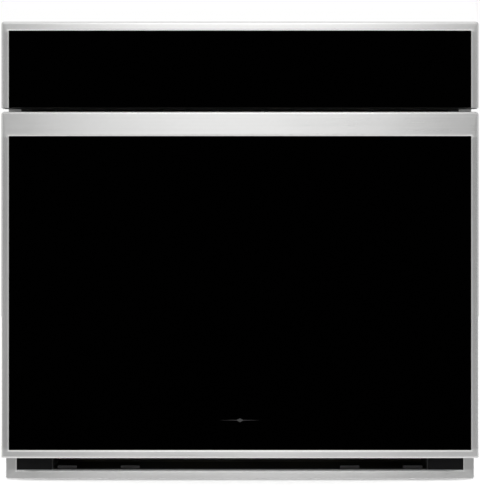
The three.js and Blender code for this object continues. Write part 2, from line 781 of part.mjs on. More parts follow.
function blowerHousing() {
  const r0 = blower.wheel + blower.clearance;
  const steps = 24;
  const outline = (inset) => {
    const scroll = Array.from({ length: steps + 1 }, (_, i) => {
      const angle = (2 * Math.PI * i) / steps;
      const r = r0 - inset + (blower.growth * i) / steps;
      return [r * Math.cos(angle), -r * Math.sin(angle)];
    });
    const end = -blower.outlet - (inset ? 1 : 0);
    const far = r0 + blower.growth - inset;
    const mouth = [[far, end], [r0 + inset, end]];
    if (inset) mouth.push([r0 + inset, 0]);
    return new THREE.Shape([...scroll, ...mouth].map((p) => new THREE.Vector2(...p)));
  };
  const shell = plate(outline(0), "z", [GAP, blower.height]);
  const inside = plate(outline(blower.wall), "z", [GAP + blower.wall, blower.height - blower.wall]);
  const inlet = bar([0, 0, blower.height - 5], [0, 0, blower.height + 5], blower.wheel - 14, 24);
  return piece("blower_housing", cut(shell, inside, inlet), galvanised);
}

function blowerWheel() {
  const r = blower.wheel;
  const z0 = GAP + blower.wall + 4;
  const z1 = blower.height - blower.wall - 6;
  const disc = bar([0, 0, z0], [0, 0, z0 + 1.5], r, 24);
  const rim = turned([
    [r, z1 - 2],
    [r, z1],
    [r - 8, z1],
    [r - 8, z1 - 2],
    [r, z1 - 2],
  ]);
  const blade = block([r - 9, r - 1], [-0.7, 0.7], [z0 + 0.5, z1 - 0.5]);
  const step = 360 / blower.blades;
  const blades = Array.from({ length: blower.blades }, (_, i) => blade.rotate([0, 0, step * i]));
  const hub = bar([0, 0, z0], [0, 0, z0 + 22], 10);
  const shaft = bar([0, 0, z0 + 1], [0, 0, blower.height + 14], blower.shaft, 12);
  return piece("blower_wheel", join(disc, rim, blades, hub, shaft), galvanised);
}

function blowerMotor() {
  const z0 = blower.height + GAP;
  const can = bar([0, 0, z0 + 3], [0, 0, z0 + 28], blower.motor, 20);
  const arms = [30, 150, 270].map((turn) =>
    join(
      block([0, blower.wheel - 4], [-6, 6], [z0 + 3, z0 + 5]),
      block([blower.wheel - 10, blower.wheel - 4], [-6, 6], [z0, z0 + 5]),
    ).rotate([0, 0, turn]),
  );
  const bore = bar([0, 0, z0 - 1], [0, 0, z0 + 16], blower.shaft + GAP, 12);
  return piece("blower_motor", cut(join(can, arms), bore), springSteel);
}

function powerBoard() {
  const { width: w, depth: d, thickness: t, standoff: s } = board;
  const sheet = block([-w / 2, w / 2], [-d / 2, d / 2], [s, s + t]);
  const postX = w / 2 - board.postInset;
  const postY = d / 2 - board.postInset;
  const posts = [-1, 1].flatMap((a) =>
    [-1, 1].map((b) => bar([a * postX, b * postY, GAP], [a * postX, b * postY, s + 1], 3, 8)),
  );
  const relays = Array.from({ length: relay.count }, (_, i) => {
    const x = relay.x + i * relay.pitch;
    return block([x, x + relay.width], relay.y, [s + 1, s + relay.height]);
  });
  const coil = block(transformer.x, transformer.y, [s + 1, s + transformer.height]);
  const cans = capacitor.xs.map((x) =>
    bar([x, capacitor.y, s + 1], [x, capacitor.y, s + capacitor.height], capacitor.radius, 12),
  );
  const made = join(sheet, posts, relays, coil, cans);
  return piece("power_board", made, circuit, [board.x, board.y, 0]);
}

function lockMotor() {
  const z0 = lockZ - deckZ - SHEET;
  const y0 = faceY + 3;
  const bracket = block([-34, 34], [y0, y0 + 52], [z0, z0 + 1.5]);
  const box = block([-24, 24], [y0 + 2, y0 + 44], [z0 + 1, z0 + 24]);
  const spindle = bar([18, y0 + 22, z0 + 20], [18, y0 + 22, z0 + 32], 9, 12);
  const pivotY = faceY + lock.pivotBehindFace;
  const bore = bar([0, pivotY, z0 - 1], [0, pivotY, z0 + 12], 4 + GAP, 16);
  return piece("lock_motor", cut(join(bracket, box, spindle), bore), blackPlastic);
}

const aboveDeck = () =>
  group(
    [0, 0, deckZ + SHEET],
    group([blower.x, blower.y, 0], blowerHousing(), blowerWheel(), blowerMotor()),
    powerBoard(),
    lockMotor(),
  );

/** The hook that holds the door shut. z = 0 is its underside, y = 0 its pivot. */
function lockHook() {
  const reach = lock.pivotBehindFace + lock.reach;
  const strip = block([-lock.width / 2, lock.width / 2], [-reach, 4], [0, lock.thickness]);
  const barb = block([0, lock.width / 2 + lock.barb], [-reach, -reach + 7], [0, lock.thickness]);
  const boss = bar([0, 0, 0], [0, 0, lock.thickness], 9, 16);
  const shaft = bar([0, 0, 1], [0, 0, lockZ + 8 - (ceilingZ + lock.aboveMouth)], 4, 16);
  const place = [0, faceY + lock.pivotBehindFace, ceilingZ + lock.aboveMouth];
  return piece("lock_hook", join(strip, barb, boss, shaft), hingeSteel, place);
}

function conduitGland() {
  const sleeve = bar([0, GAP, 0], [0, gland.length, 0], gland.radius, 20);
  const nut = bar([0, GAP, 0], [0, 6, 0], gland.radius + 4, 6);
  const bore = bar([0, -1, 0], [0, gland.length + 1, 0], gland.bore, 20);
  return piece("conduit_gland", cut(join(sleeve, nut), bore), hingeSteel, glandPlace);
}

// ---------------------------------------------------------------- control panel
// y = 0 is its front face and z = 0 its lower edge.

function controlPanel() {
  const w = frontHalf;
  const h = panel.height;
  const t = door.skin;
  const shell = cut(
    block([-w, w], [0, panelDepth], [0, h]),
    block([-w + t, w - t], [t, panelDepth + 1], [-1, h - t]),
    block([-w + panel.sideBar, w - panel.sideBar], [-1, t + 1], [-1, h - panel.topBar]),
  );
  const glassY = [t + GAP, t + GAP + door.glass];
  const glassHalf = w - t - GAP;
  const glass = block([-glassHalf, glassHalf], glassY, [0, h - t - GAP]);
  const box = [glassY[1] + GAP, panelDepth];
  const wall = panel.housingWall;
  const outer = glassHalf - 1;
  const inner = outer - wall;
  const housing = cut(
    block([-outer, outer], box, [0, h - t - 2]),
    block([-inner, inner], [box[0] - 1, box[1] - wall], [wall, h - t - 2 - wall]),
  );
  const screen = block(
    [-display.width / 2, display.width / 2],
    [box[0], box[0] + display.thickness],
    [(h - display.height) / 2, (h + display.height) / 2],
  );
  const behind = box[0] + display.thickness;
  const ribbon = block([-22, 22], [behind - 1, box[1] - wall - 6], [h / 2 - 5, h / 2 + 5]);
  return group(
    [0, doorFrontY, panelZ],
    piece("panel_bezel", shell, stainless),
    piece("panel_glass", glass, blackGlass),
    piece("panel_housing", housing, blackPlastic),
    piece("display_module", join(screen, ribbon), circuit),
  );
}

// ---------------------------------------------------------------- door
// y = 0 is its front face and z = 0 its lower edge.

const hingeLocal = { y: door.thickness - hinge.fromBack, z: hinge.fromBottom };

/** The room that each hinge arm needs through the door's back and lower edge as the door turns. */
const armSlots = () =>
  SIDES.map(([, side]) =>
    block(
      span(side, hinge.x - hinge.armThickness / 2 - 1.5, hinge.x + hinge.armThickness / 2 + 1.5),
      [hingeLocal.y - hinge.armHalf - 4, door.thickness + 1],
      [-1, hingeLocal.z + hinge.armHalf + 3],
    ),
  );

function doorFrame() {
  const w = frontHalf;
  const { height: h, thickness: d, skin: t } = door;
  const shell = cut(
    block([-w, w], [0, d], [0, h]),
    block([-w + t, w - t], [t, d + 1], [t, h - t]),
    block([-w + door.sideBar, w - door.sideBar], [-1, t + 1], [door.bottomBar, h - door.topBar]),
  );
  return piece("door_frame", cut(shell, armSlots()), stainless);
}

function doorGlass() {
  const w = frontHalf - door.skin - GAP;
  const z = [door.skin + 3, door.height - door.skin - GAP];
  const y0 = door.skin + GAP;
  return piece("door_outer_glass", block([-w, w], [y0, y0 + door.glass], z), blackGlass);
}

const plugHalf = cavityHalf - plug.inset;
const plugZ = [floorZ - door.bottomZ + plug.inset, ceilingZ - door.bottomZ - plug.inset];
const pane = {
  half: plugHalf - windowPane.side,
  z: [plugZ[0] + windowPane.bottom, plugZ[1] - windowPane.top],
};

function doorInnerLiner() {
  const w = frontHalf - door.skin - GAP;
  const back = door.thickness;
  const sheet = block([-w, w], [back - SHEET, back], [door.skin + GAP, door.height - door.skin - GAP]);
  const outline = roundedRect(plugHalf, ...plugZ, cavity.corner);
  const raised = plate(outline, "y", [back - SHEET, back + plug.depth]);
  const hollow = plate(
    roundedRect(plugHalf - SHEET, plugZ[0] + SHEET, plugZ[1] - SHEET, cavity.corner),
    "y",
    [back - SHEET - 1, back + plug.depth - SHEET],
  );
  const view = block([-pane.half, pane.half], [back - 5, back + 10], pane.z);
  const hookZ = ceilingZ + lock.aboveMouth - door.bottomZ;
  const hook = block([-7, 15], [back - 5, back + 5], [hookZ - 4, hookZ + lock.thickness + 5]);
  return piece("door_inner_liner", cut(join(sheet, raised), hollow, view, hook, armSlots()), enamel);
}

/** A pane held behind the window, at a distance from the door's front face. */
function innerPane(name, y0) {
  const w = pane.half + windowPane.lap;
  const z = [pane.z[0] - windowPane.lap, pane.z[1] + windowPane.lap];
  return piece(name, block([-w, w], [y0, y0 + windowPane.glass], z), clearGlass);
}

function doorInsulation() {
  const w = hinge.x - hinge.channelWidth / 2 - 6;
  const y = [door.skin + door.glass + 4, door.thickness - SHEET - GAP];
  const hookZ = ceilingZ + lock.aboveMouth - door.bottomZ;
  const frameZ = [30, hookZ - 10];
  const lap = windowPane.lap + 4;
  const openHalf = pane.half + lap;
  const opening = block([-openHalf, openHalf], [y[0] - 1, y[1] + 8], [pane.z[0] - lap, pane.z[1] + lap]);
  return piece("door_insulation", cut(block([-w, w], y, frameZ), opening), glassWool);
}

const doorPieces = () =>
  group(
    [0, doorFrontY, door.bottomZ],
    doorFrame(),
    doorGlass(),
    doorInnerLiner(),
    innerPane("door_middle_glass", door.thickness / 2 - windowPane.glass / 2),
    innerPane("door_inner_glass", door.thickness + plug.depth - SHEET - GAP - windowPane.glass),
    doorInsulation(),
  );

// ---------------------------------------------------------------- hinges, each about its own pin

const channelFront =
  door.thickness - hinge.fromBack - door.skin - GAP - door.glass - hinge.channelClearance;
const camRise = channelFront - hinge.channelWall - hinge.camClearance - hinge.armHalf;

/** Radius of the arm's cam: it grows evenly over a quarter turn, so the rod lifts in step with the door. */
const camRadius = (degrees) => hinge.armHalf + (camRise * degrees) / 90;
const camSlope = (2 * camRise) / (Math.PI * hinge.armHalf);
const rollerZ = camRadius(0) + (hinge.roller + GAP) * Math.hypot(1, camSlope);

function hingeArm([name]) {
  const outline = [];
  const polar = (degrees, r) => {
    const a = THREE.MathUtils.degToRad(degrees);
    return new THREE.Vector2(-r * Math.sin(a), r * Math.cos(a));
  };
  for (let a = 0; a <= 90; a += 7.5) outline.push(polar(a, camRadius(a)));
  const notchY = hinge.tail - hinge.notchFromTail;
  outline.push(
    new THREE.Vector2(-hinge.armHalf / 2, -hinge.armHalf),
    new THREE.Vector2(notchY - hinge.notchHalf, -hinge.armHalf),
    new THREE.Vector2(notchY - hinge.notchHalf, 0),
    new THREE.Vector2(notchY + hinge.notchHalf, 0),
    new THREE.Vector2(notchY + hinge.notchHalf, -hinge.armHalf),
    new THREE.Vector2(hinge.tail - 4, -hinge.armHalf),
    new THREE.Vector2(hinge.tail, -2),
    new THREE.Vector2(hinge.tail, hinge.armHalf),
  );
  const t = hinge.armThickness / 2;
  const arm = plate(new THREE.Shape(outline), "x", [-t, t]);
  return piece(`hinge_arm_${name}`, cut(arm, bar([-9, 0, 0], [9, 0, 0], hinge.pin + GAP)), hingeSteel);
}

function hingeReceptor([name]) {
  const inner = hinge.armThickness / 2 + 3;
  const outer = inner + 2;
  const y = [faceY + 4 - hingeY, hinge.tail + 6];
  const z = [SHEET + GAP - hingeZ, hinge.armHalf + 4];
  const cheeks = [-1, 1].map((side) => block(span(side, inner, outer), y, z));
  const back = block([-outer, outer], [y[1] - 2, y[1]], z);
  const notchY = hinge.tail - hinge.notchFromTail;
  const crossPin = bar([-outer + 0.5, notchY, -4.5], [outer - 0.5, notchY, -4.5], 3.2, 12);
  return piece(`hinge_receptor_${name}`, join(back, cheeks, crossPin), galvanised);
}

function hingeChannel([name]) {
  const w = hinge.channelWidth / 2;
  const t = hinge.channelWall;
  const y = [-channelFront, hinge.fromBack - 2];
  const z = [-hinge.fromBottom + door.skin + GAP, hinge.channelLength];
  const shell = cut(
    block([-w, w], y, z),
    block([-w + t, w - t], [y[0] + t, y[1] + 1], [z[0] - 1, z[1] - t]),
    bar([-20, 0, 0], [20, 0, 0], hinge.pin + GAP),
    bar([0, 0, z[1] - 5], [0, 0, z[1] + 5], hinge.rod + GAP, 12),
  );
  return piece(`hinge_channel_${name}`, shell, hingeSteel);
}

function hingePin([name]) {
  const w = hinge.channelWidth / 2;
  const shank = bar([-w - 2, 0, 0], [w + 2, 0, 0], hinge.pin);
  const heads = [-1, 1].map((side) =>
    bar([side * (w + GAP), 0, 0], [side * (w + 2.5), 0, 0], hinge.pin + 1.8),
  );
  return piece(`hinge_pin_${name}`, join(shank, heads), springSteel);
}

function hingeRod([name]) {
  const halfFork = hinge.channelWidth / 2 - hinge.channelWall - 1.2;
  const roller = bar([-halfFork, 0, rollerZ], [halfFork, 0, rollerZ], hinge.roller, 16);
  const yoke = block([-halfFork, halfFork], [-4.5, 4.5], [rollerZ + 1, rollerZ + 12]);
  const collar = bar([0, 0, rollerZ + 11], [0, 0, rollerZ + 14], 6.4, 12);
  const rod = bar([0, 0, rollerZ + 12], [0, 0, hinge.channelLength + 4], hinge.rod, 12);
  return piece(`hinge_rod_${name}`, join(roller, yoke, collar, rod), hingeSteel);
}

function hingeSpring([name]) {
  const { radius, turns } = spring;
  const room = GAP + spring.wire;
  const z = [rollerZ + 14 + room, hinge.channelLength - hinge.channelWall - room];
  const steps = turns * spring.stepsPerTurn;
  const points = Array.from({ length: steps + 1 }, (_, i) => {
    const a = (2 * Math.PI * turns * i) / steps;
    return [radius * Math.cos(a), radius * Math.sin(a), z[0] + ((z[1] - z[0]) * i) / steps];
  });
  return piece(`hinge_spring_${name}`, wire(points, spring.wire, 5), springSteel);
}

const HINGE_PARTS = [hingeArm, hingeReceptor, hingeChannel, hingePin, hingeRod, hingeSpring];

const hinges = () =>
  SIDES.map((which) =>
    group(
      [which[1] * hinge.x, hingeY, hingeZ],
      HINGE_PARTS.map((make) => make(which)),
    ),
  );

// ---------------------------------------------------------------- the oven

export default group(
  [0, 0, 0],
  chassis().flat(),
  cavityPieces(),
  aboveDeck(),
  lockHook(),
  conduitGland(),
  controlPanel(),
  doorPieces(),
  hinges(),
);
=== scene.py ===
"""A built-in wall oven with a handleless drop-down door: looks, studio and camera around its frame."""

import math

import bmesh
import bpy
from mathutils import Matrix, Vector


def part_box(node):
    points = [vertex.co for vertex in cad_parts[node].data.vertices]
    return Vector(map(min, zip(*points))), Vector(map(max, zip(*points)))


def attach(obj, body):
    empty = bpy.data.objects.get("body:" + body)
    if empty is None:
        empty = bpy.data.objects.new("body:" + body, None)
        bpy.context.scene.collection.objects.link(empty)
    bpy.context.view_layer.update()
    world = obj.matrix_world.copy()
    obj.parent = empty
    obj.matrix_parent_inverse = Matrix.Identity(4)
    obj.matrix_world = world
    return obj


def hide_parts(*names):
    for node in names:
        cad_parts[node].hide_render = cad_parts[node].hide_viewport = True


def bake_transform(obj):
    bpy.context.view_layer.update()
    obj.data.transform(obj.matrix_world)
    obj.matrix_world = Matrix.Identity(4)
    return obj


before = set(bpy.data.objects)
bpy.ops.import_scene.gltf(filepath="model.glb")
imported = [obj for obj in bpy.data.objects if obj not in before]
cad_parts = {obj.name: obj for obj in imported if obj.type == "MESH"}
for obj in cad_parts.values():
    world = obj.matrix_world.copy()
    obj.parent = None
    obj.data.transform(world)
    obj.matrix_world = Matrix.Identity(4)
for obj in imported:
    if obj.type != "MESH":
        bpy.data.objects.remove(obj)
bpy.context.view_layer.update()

MM = 0.001

# ------------------------------------------------------------------ sizes of the finish, in metres

SKIN = 1.5 * MM  # stainless sheet of the door and the panel
DOOR_BARS = {"side": 11.8 * MM, "bottom": 12.6 * MM, "top": 38.4 * MM}
PANEL_BARS = {"side": 11.8 * MM, "top": 14.5 * MM}
TRIM_BARS = {"side": 16.7 * MM, "bottom": 12.4 * MM, "top": 8 * MM}
DOOR_ROUND = 3.2 * MM
PANEL_ROUND = 4.6 * MM
LIP = 1.9 * MM  # light bevel around each glass
CLEAR = 0.3 * MM  # from a wire to the wall it hangs on

CAMERA_DISTANCE = 5.0  # from the front of the door
VIEW_HEIGHT = 0.7911  # what the frame takes in at the front of the door
EYE_Z = 0.3525
SENSOR = 36.0  # width, in millimetres

PAPER_WHITE = 1.0  # what the camera sees past the oven
SOFT_GLOW = 1.9  # the even light from all round
WALL_GLOW = 0.62  # what shiny parts mirror from the sides
CEILING_GLOW = 1.0  # and from above and below
SOFTBOX = {
    "place": (0.0, -5.0, 2.6),
    "aim": (0.0, -0.3, 0.35),
    "width": 1.16,
    "height": 1.6,
    "power": 24.0,
}
FLOOR_DROP = 0.3 * MM  # the floor's level under the lowest edge


def box(node):
    """Lowest and highest corner of a node at rest."""
    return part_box(node)


SIDES = (("left", -1), ("right", 1))

# ------------------------------------------------------------------ node helpers


def add(tree, kind, values=None, **settings):
    """A new node with its settings and the values of its sockets."""
    made = tree.nodes.new(kind)
    for key, value in settings.items():
        setattr(made, key, value)
    for key, value in (values or {}).items():
        made.inputs[key].default_value = value
    return made


def link(tree, source, target):
    """Joins a socket to another."""
    tree.links.new(source, target)


def new_group(name, inputs, outputs):
    """A group of shader nodes: inputs are names with values, and outputs are names.

    A value of three numbers makes a vector input; every other socket is one number.
    """
    tree = bpy.data.node_groups.new(name, "ShaderNodeTree")
    for label, default in inputs.items():
        kind = "NodeSocketVector" if isinstance(default, tuple) else "NodeSocketFloat"
        socket = tree.interface.new_socket(name=label, in_out="INPUT", socket_type=kind)
        socket.default_value = default
    for label in outputs:
        tree.interface.new_socket(name=label, in_out="OUTPUT", socket_type="NodeSocketFloat")
    start = tree.nodes.new("NodeGroupInput")
    end = tree.nodes.new("NodeGroupOutput")
    return tree, start.outputs, end.inputs


def math_node(tree, operation, first, second=0.0, clamp=False):
    """The result of a sum; each side may be a socket or a number."""
    made = add(tree, "ShaderNodeMath", operation=operation, use_clamp=clamp)
    for socket, value in zip(made.inputs, (first, second)):
        if hasattr(value, "links"):
            link(tree, value, socket)
        else:
            socket.default_value = value
    return made.outputs["Value"]


def remap(tree, value, low, high, to_low=0.0, to_high=1.0):
    """A socket's value taken from one range to another."""
    ranges = {"From Min": low, "From Max": high, "To Min": to_low, "To Max": to_high}
    made = add(tree, "ShaderNodeMapRange", ranges)
    link(tree, value, made.inputs["Value"])
    return made.outputs["Result"]


def blend_colours(tree, factor, first, second):
    """A colour between two others; each may be a socket or a colour."""
    made = add(tree, "ShaderNodeMix", data_type="RGBA")
    for index, value in ((0, factor), (6, first), (7, second)):
        if hasattr(value, "links"):
            link(tree, value, made.inputs[index])
        elif index:
            made.inputs[index].default_value = (*value, 1.0)
        else:
            made.inputs[index].default_value = value
    return made.outputs[2]


def object_place(tree, stretch=None):
    """The place on the object in metres, stretched by a socket's vector."""
    place = add(tree, "ShaderNodeTexCoord").outputs["Object"]
    if stretch is None:
        return place
    scaled = add(tree, "ShaderNodeVectorMath", operation="MULTIPLY")
    link(tree, place, scaled.inputs[0])
    if hasattr(stretch, "links"):
        link(tree, stretch, scaled.inputs[1])
    else:
        scaled.inputs[1].default_value = stretch
    return scaled.outputs["Vector"]


def noise(tree, place, scale, detail, roughness=0.5):
    """Cloudy noise at a place; its scale may be a socket or a number."""
    made = add(tree, "ShaderNodeTexNoise", {"Detail": detail, "Roughness": roughness})
    link(tree, place, made.inputs["Vector"])
    if hasattr(scale, "links"):
        link(tree, scale, made.inputs["Scale"])
    else:
        made.inputs["Scale"].default_value = scale
    return made.outputs["Fac"]


# ------------------------------------------------------------------ effects that materials share


def build_brushing():
    """Fine parallel scratches. Stretch is large across them and small along them."""
    tree, given, out = new_group("brushing", {"Stretch": (4.0, 900.0, 900.0)}, ["Lines", "Long Lines"])
    fine = noise(tree, object_place(tree, given["Stretch"]), 1.0, 4.0, 0.65)
    link(tree, remap(tree, fine, 0.3, 0.7), out["Lines"])
    broad = noise(tree, object_place(tree, given["Stretch"]), 0.22, 2.0, 0.5)
    link(tree, remap(tree, broad, 0.3, 0.7), out["Long Lines"])
    return tree


def build_smudges():
    """Soft patches where a surface has been wiped or handled."""
    tree, given, out = new_group("smudges", {"Scale": 6.0, "Low": 0.0, "High": 1.0}, ["Value"])
    patches = noise(tree, object_place(tree), given["Scale"], 5.0, 0.6)
    range_in = {"From Min": 0.35, "From Max": 0.65}
    spread = add(tree, "ShaderNodeMapRange", range_in, interpolation_type="SMOOTHSTEP")
    link(tree, patches, spread.inputs["Value"])
    link(tree, given["Low"], spread.inputs["To Min"])
    link(tree, given["High"], spread.inputs["To Max"])
    link(tree, spread.outputs["Result"], out["Value"])
    return tree


def build_edge_rub():
    """Where raised edges are rubbed bright, broken up by noise."""
    tree, given, out = new_group("edge_rub", {"Amount": 0.5}, ["Mask"])
    pointed = add(tree, "ShaderNodeNewGeometry").outputs["Pointiness"]
    edge = remap(tree, pointed, 0.52, 0.6)
    broken = remap(tree, noise(tree, object_place(tree), 90.0, 4.0, 0.6), 0.4, 0.6)
    worn = math_node(tree, "MULTIPLY", edge, broken, clamp=True)
    link(tree, math_node(tree, "MULTIPLY", worn, given["Amount"], clamp=True), out["Mask"])
    return tree


def build_flecks():
    """Small flecks scattered in fired enamel, with its faint orange peel as a height."""
    tree, given, out = new_group("enamel_flecks", {"Scale": 420.0, "Size": 0.2}, ["Mask", "Peel"])
    cells = add(tree, "ShaderNodeTexVoronoi", {"Randomness": 1.0}, feature="F1")
    link(tree, object_place(tree), cells.inputs["Vector"])
    link(tree, given["Scale"], cells.inputs["Scale"])
    near = math_node(tree, "LESS_THAN", cells.outputs["Distance"], given["Size"])
    split = add(tree, "ShaderNodeSeparateColor")
    link(tree, cells.outputs["Color"], split.inputs["Color"])
    chosen = math_node(tree, "GREATER_THAN", split.outputs["Red"], 0.62)
    link(tree, math_node(tree, "MULTIPLY", near, chosen), out["Mask"])
    link(tree, noise(tree, object_place(tree), 160.0, 2.0, 0.5), out["Peel"])
    return tree


def build_spangle():
    """Crystals of a zinc coat: patches that differ a little in tone and in gloss."""
    tree, given, out = new_group("zinc_spangle", {"Scale": 95.0}, ["Tone", "Grain"])
    bent = add(tree, "ShaderNodeVectorMath", operation="MULTIPLY_ADD")
    drift = add(tree, "ShaderNodeTexNoise", {"Scale": 60.0, "Detail": 3.0})
    link(tree, object_place(tree), drift.inputs["Vector"])
    link(tree, drift.outputs["Color"], bent.inputs[0])
    bent.inputs[1].default_value = (0.012, 0.012, 0.012)
    link(tree, object_place(tree), bent.inputs[2])
    cells = add(tree, "ShaderNodeTexVoronoi", feature="F1")
    link(tree, bent.outputs["Vector"], cells.inputs["Vector"])
    link(tree, given["Scale"], cells.inputs["Scale"])
    split = add(tree, "ShaderNodeSeparateColor")
    link(tree, cells.outputs["Color"], split.inputs["Color"])
    link(tree, split.outputs["Red"], out["Tone"])
    link(tree, noise(tree, object_place(tree), 900.0, 2.0, 0.6), out["Grain"])
    return tree


def build_fibres():
    """Matted fibres: crossing strands as a tone and a height."""
    tree, given, out = new_group("matted_fibres", {"Scale": 260.0}, ["Tone", "Height"])
    strands = []
    for stretch in ((1.0, 0.12, 0.5), (0.12, 1.0, 0.4), (0.5, 0.3, 1.0)):
        layer = add(tree, "ShaderNodeTexNoise", {"Detail": 6.0, "Roughness": 0.7, "Distortion": 1.6})
        link(tree, object_place(tree, stretch), layer.inputs["Vector"])
        link(tree, given["Scale"], layer.inputs["Scale"])
        strands.append(layer.outputs["Fac"])
    first = math_node(tree, "MAXIMUM", strands[0], strands[1])
    both = math_node(tree, "MAXIMUM", first, strands[2])
    link(tree, remap(tree, both, 0.45, 0.75), out["Tone"])
    link(tree, both, out["Height"])
    return tree


def build_braid():
    """A braided sleeve: two sets of strands that cross, as a height and as a painted shade that darkens the
    low places between them.
    """
    tree, given, out = new_group("braid", {"Scale": 700.0}, ["Height", "Shade"])
    split = add(tree, "ShaderNodeSeparateXYZ")
    link(tree, object_place(tree), split.inputs["Vector"])
    along = math_node(tree, "ADD", split.outputs["X"], split.outputs["Z"])
    waves = []
    for sign in ("ADD", "SUBTRACT"):
        lean = math_node(tree, sign, along, math_node(tree, "MULTIPLY", split.outputs["Y"], 1.6))
        turn = math_node(tree, "MULTIPLY", lean, given["Scale"])
        waves.append(math_node(tree, "SINE", turn))
    crossed = math_node(tree, "MULTIPLY", waves[0], waves[1])
    height = remap(tree, crossed, -1.0, 1.0)
    link(tree, height, out["Height"])
    # painted shade: the low places between the strands are made darker
    link(tree, remap(tree, height, 0.15, 0.7, 0.0, 1.0), out["Shade"])
    return tree


def build_settled_dust():
    """A film of dust on whatever faces up."""
    tree, given, out = new_group("settled_dust", {"Amount": 0.3}, ["Mask"])
    split = add(tree, "ShaderNodeSeparateXYZ")
    link(tree, add(tree, "ShaderNodeNewGeometry").outputs["Normal"], split.inputs["Vector"])
    upward = remap(tree, split.outputs["Z"], 0.6, 1.0)
    patchy = remap(tree, noise(tree, object_place(tree), 14.0, 6.0, 0.65), 0.35, 0.7)
    film = math_node(tree, "MULTIPLY", upward, patchy, clamp=True)
    link(tree, math_node(tree, "MULTIPLY", film, given["Amount"], clamp=True), out["Mask"])
    return tree


BRUSHING = build_brushing()
SMUDGES = build_smudges()
EDGE_RUB = build_edge_rub()
FLECKS = build_flecks()
SPANGLE = build_spangle()
FIBRES = build_fibres()
BRAID = build_braid()
DUST = build_settled_dust()


def effect(tree, group, values):
    """A shared effect placed in a material with its own values."""
    made = add(tree, "ShaderNodeGroup", node_tree=group)
    for key, value in values.items():
        made.inputs[key].default_value = value
    return made.outputs


# ------------------------------------------------------------------ materials


def new_material(name, values, colour):
    """A material with one Principled shader; values are its plain sockets."""
    material = bpy.data.materials.new(name)
    material.use_nodes = True
    material.diffuse_color = (*colour, 1.0)
    tree = material.node_tree
    shader = tree.nodes["Principled BSDF"]
    shader.inputs["Base Color"].default_value = (*colour, 1.0)
    for key, value in values.items():
        shader.inputs[key].default_value = value
    return material, tree, shader.inputs


def raise_surface(tree, shader, height, strength, distance):
    """Lets a height lift the surface's normal."""
    bump = add(tree, "ShaderNodeBump", {"Strength": strength, "Distance": distance})
    link(tree, height, bump.inputs["Height"])
    link(tree, bump.outputs["Normal"], shader["Normal"])


def stainless(name, stretch, around, dull, spread):
    """Brushed stainless steel, brushed the way stretch is least; highlights spread across the brushing."""
    values = {"Metallic": 1.0, "Roughness": dull, "Anisotropic": spread}
    material, tree, shader = new_material(name, values, (0.78, 0.78, 0.775))
    lines = effect(tree, BRUSHING, {"Stretch": stretch})
    patches = effect(tree, SMUDGES, {"Scale": 3.0, "Low": -0.015, "High": 0.02})
    tone = blend_colours(tree, lines["Lines"], (0.74, 0.74, 0.737), (0.8, 0.8, 0.795))
    steel = blend_colours(tree, lines["Long Lines"], tone, (0.79, 0.79, 0.785))
    link(tree, steel, shader["Base Color"])
    gloss = remap(tree, lines["Lines"], 0.0, 1.0, dull - 0.02, dull + 0.02)
    link(tree, math_node(tree, "ADD", gloss, patches["Value"]), shader["Roughness"])
    raise_surface(tree, shader, lines["Lines"], 0.05, 0.00004)
    across = add(tree, "ShaderNodeTangent", direction_type="RADIAL", axis=around)
    link(tree, across.outputs["Tangent"], shader["Tangent"])
    return material


def galvanised():
    """Zinc-coated sheet with a dull, crystalline look."""
    material, tree, shader = new_material("galvanised_sheet", {"Metallic": 0.85}, (0.5, 0.52, 0.53))
    zinc = effect(tree, SPANGLE, {"Scale": 110.0})
    dust = effect(tree, DUST, {"Amount": 0.22})
    sheet = blend_colours(tree, zinc["Tone"], (0.45, 0.465, 0.475), (0.53, 0.545, 0.55))
    link(tree, blend_colours(tree, dust["Mask"], sheet, (0.5, 0.49, 0.46)), shader["Base Color"])
    link(tree, remap(tree, zinc["Tone"], 0.0, 1.0, 0.38, 0.48), shader["Roughness"])
    raise_surface(tree, shader, zinc["Grain"], 0.12, 0.00008)
    return material


def black_glass():
    """Tempered glass printed black on its back."""
    values = {"Roughness": 0.03, "IOR": 1.5}
    material, tree, shader = new_material("black_printed_glass", values, (0.0002,) * 3)
    wiped = effect(tree, SMUDGES, {"Scale": 5.0, "Low": 0.025, "High": 0.045})
    link(tree, wiped["Value"], shader["Roughness"])
    print_tone = blend_colours(tree, wiped["Value"], (0.0001, 0.0001, 0.0001), (0.0003, 0.0003, 0.0003))
    link(tree, print_tone, shader["Base Color"])
    return material


def clear_glass():
    """Heat-resistant pane with a faint green edge."""
    values = {"IOR": 1.5, "Transmission Weight": 1.0}
    material, tree, shader = new_material("clear_pane", values, (0.93, 0.97, 0.95))
    wiped = effect(tree, SMUDGES, {"Scale": 9.0, "Low": 0.015, "High": 0.06})
    link(tree, wiped["Value"], shader["Roughness"])
    return material


def enamel(name, dark, fleck, scale):
    """Fired enamel with pale flecks and a deep gloss."""
    values = {"Coat Weight": 0.6, "Coat Roughness": 0.06, "Roughness": 0.3}
    material, tree, shader = new_material(name, values, dark)
    spots = effect(tree, FLECKS, {"Scale": scale, "Size": 0.22})
    rub = effect(tree, EDGE_RUB, {"Amount": 0.25})
    ground = blend_colours(tree, spots["Mask"], dark, fleck)
    link(tree, blend_colours(tree, rub["Mask"], ground, (0.09, 0.09, 0.1)), shader["Base Color"])
    wiped = effect(tree, SMUDGES, {"Scale": 7.0, "Low": 0.22, "High": 0.38})
    link(tree, wiped["Value"], shader["Roughness"])
    raise_surface(tree, shader, spots["Peel"], 0.1, 0.0004)
    return material


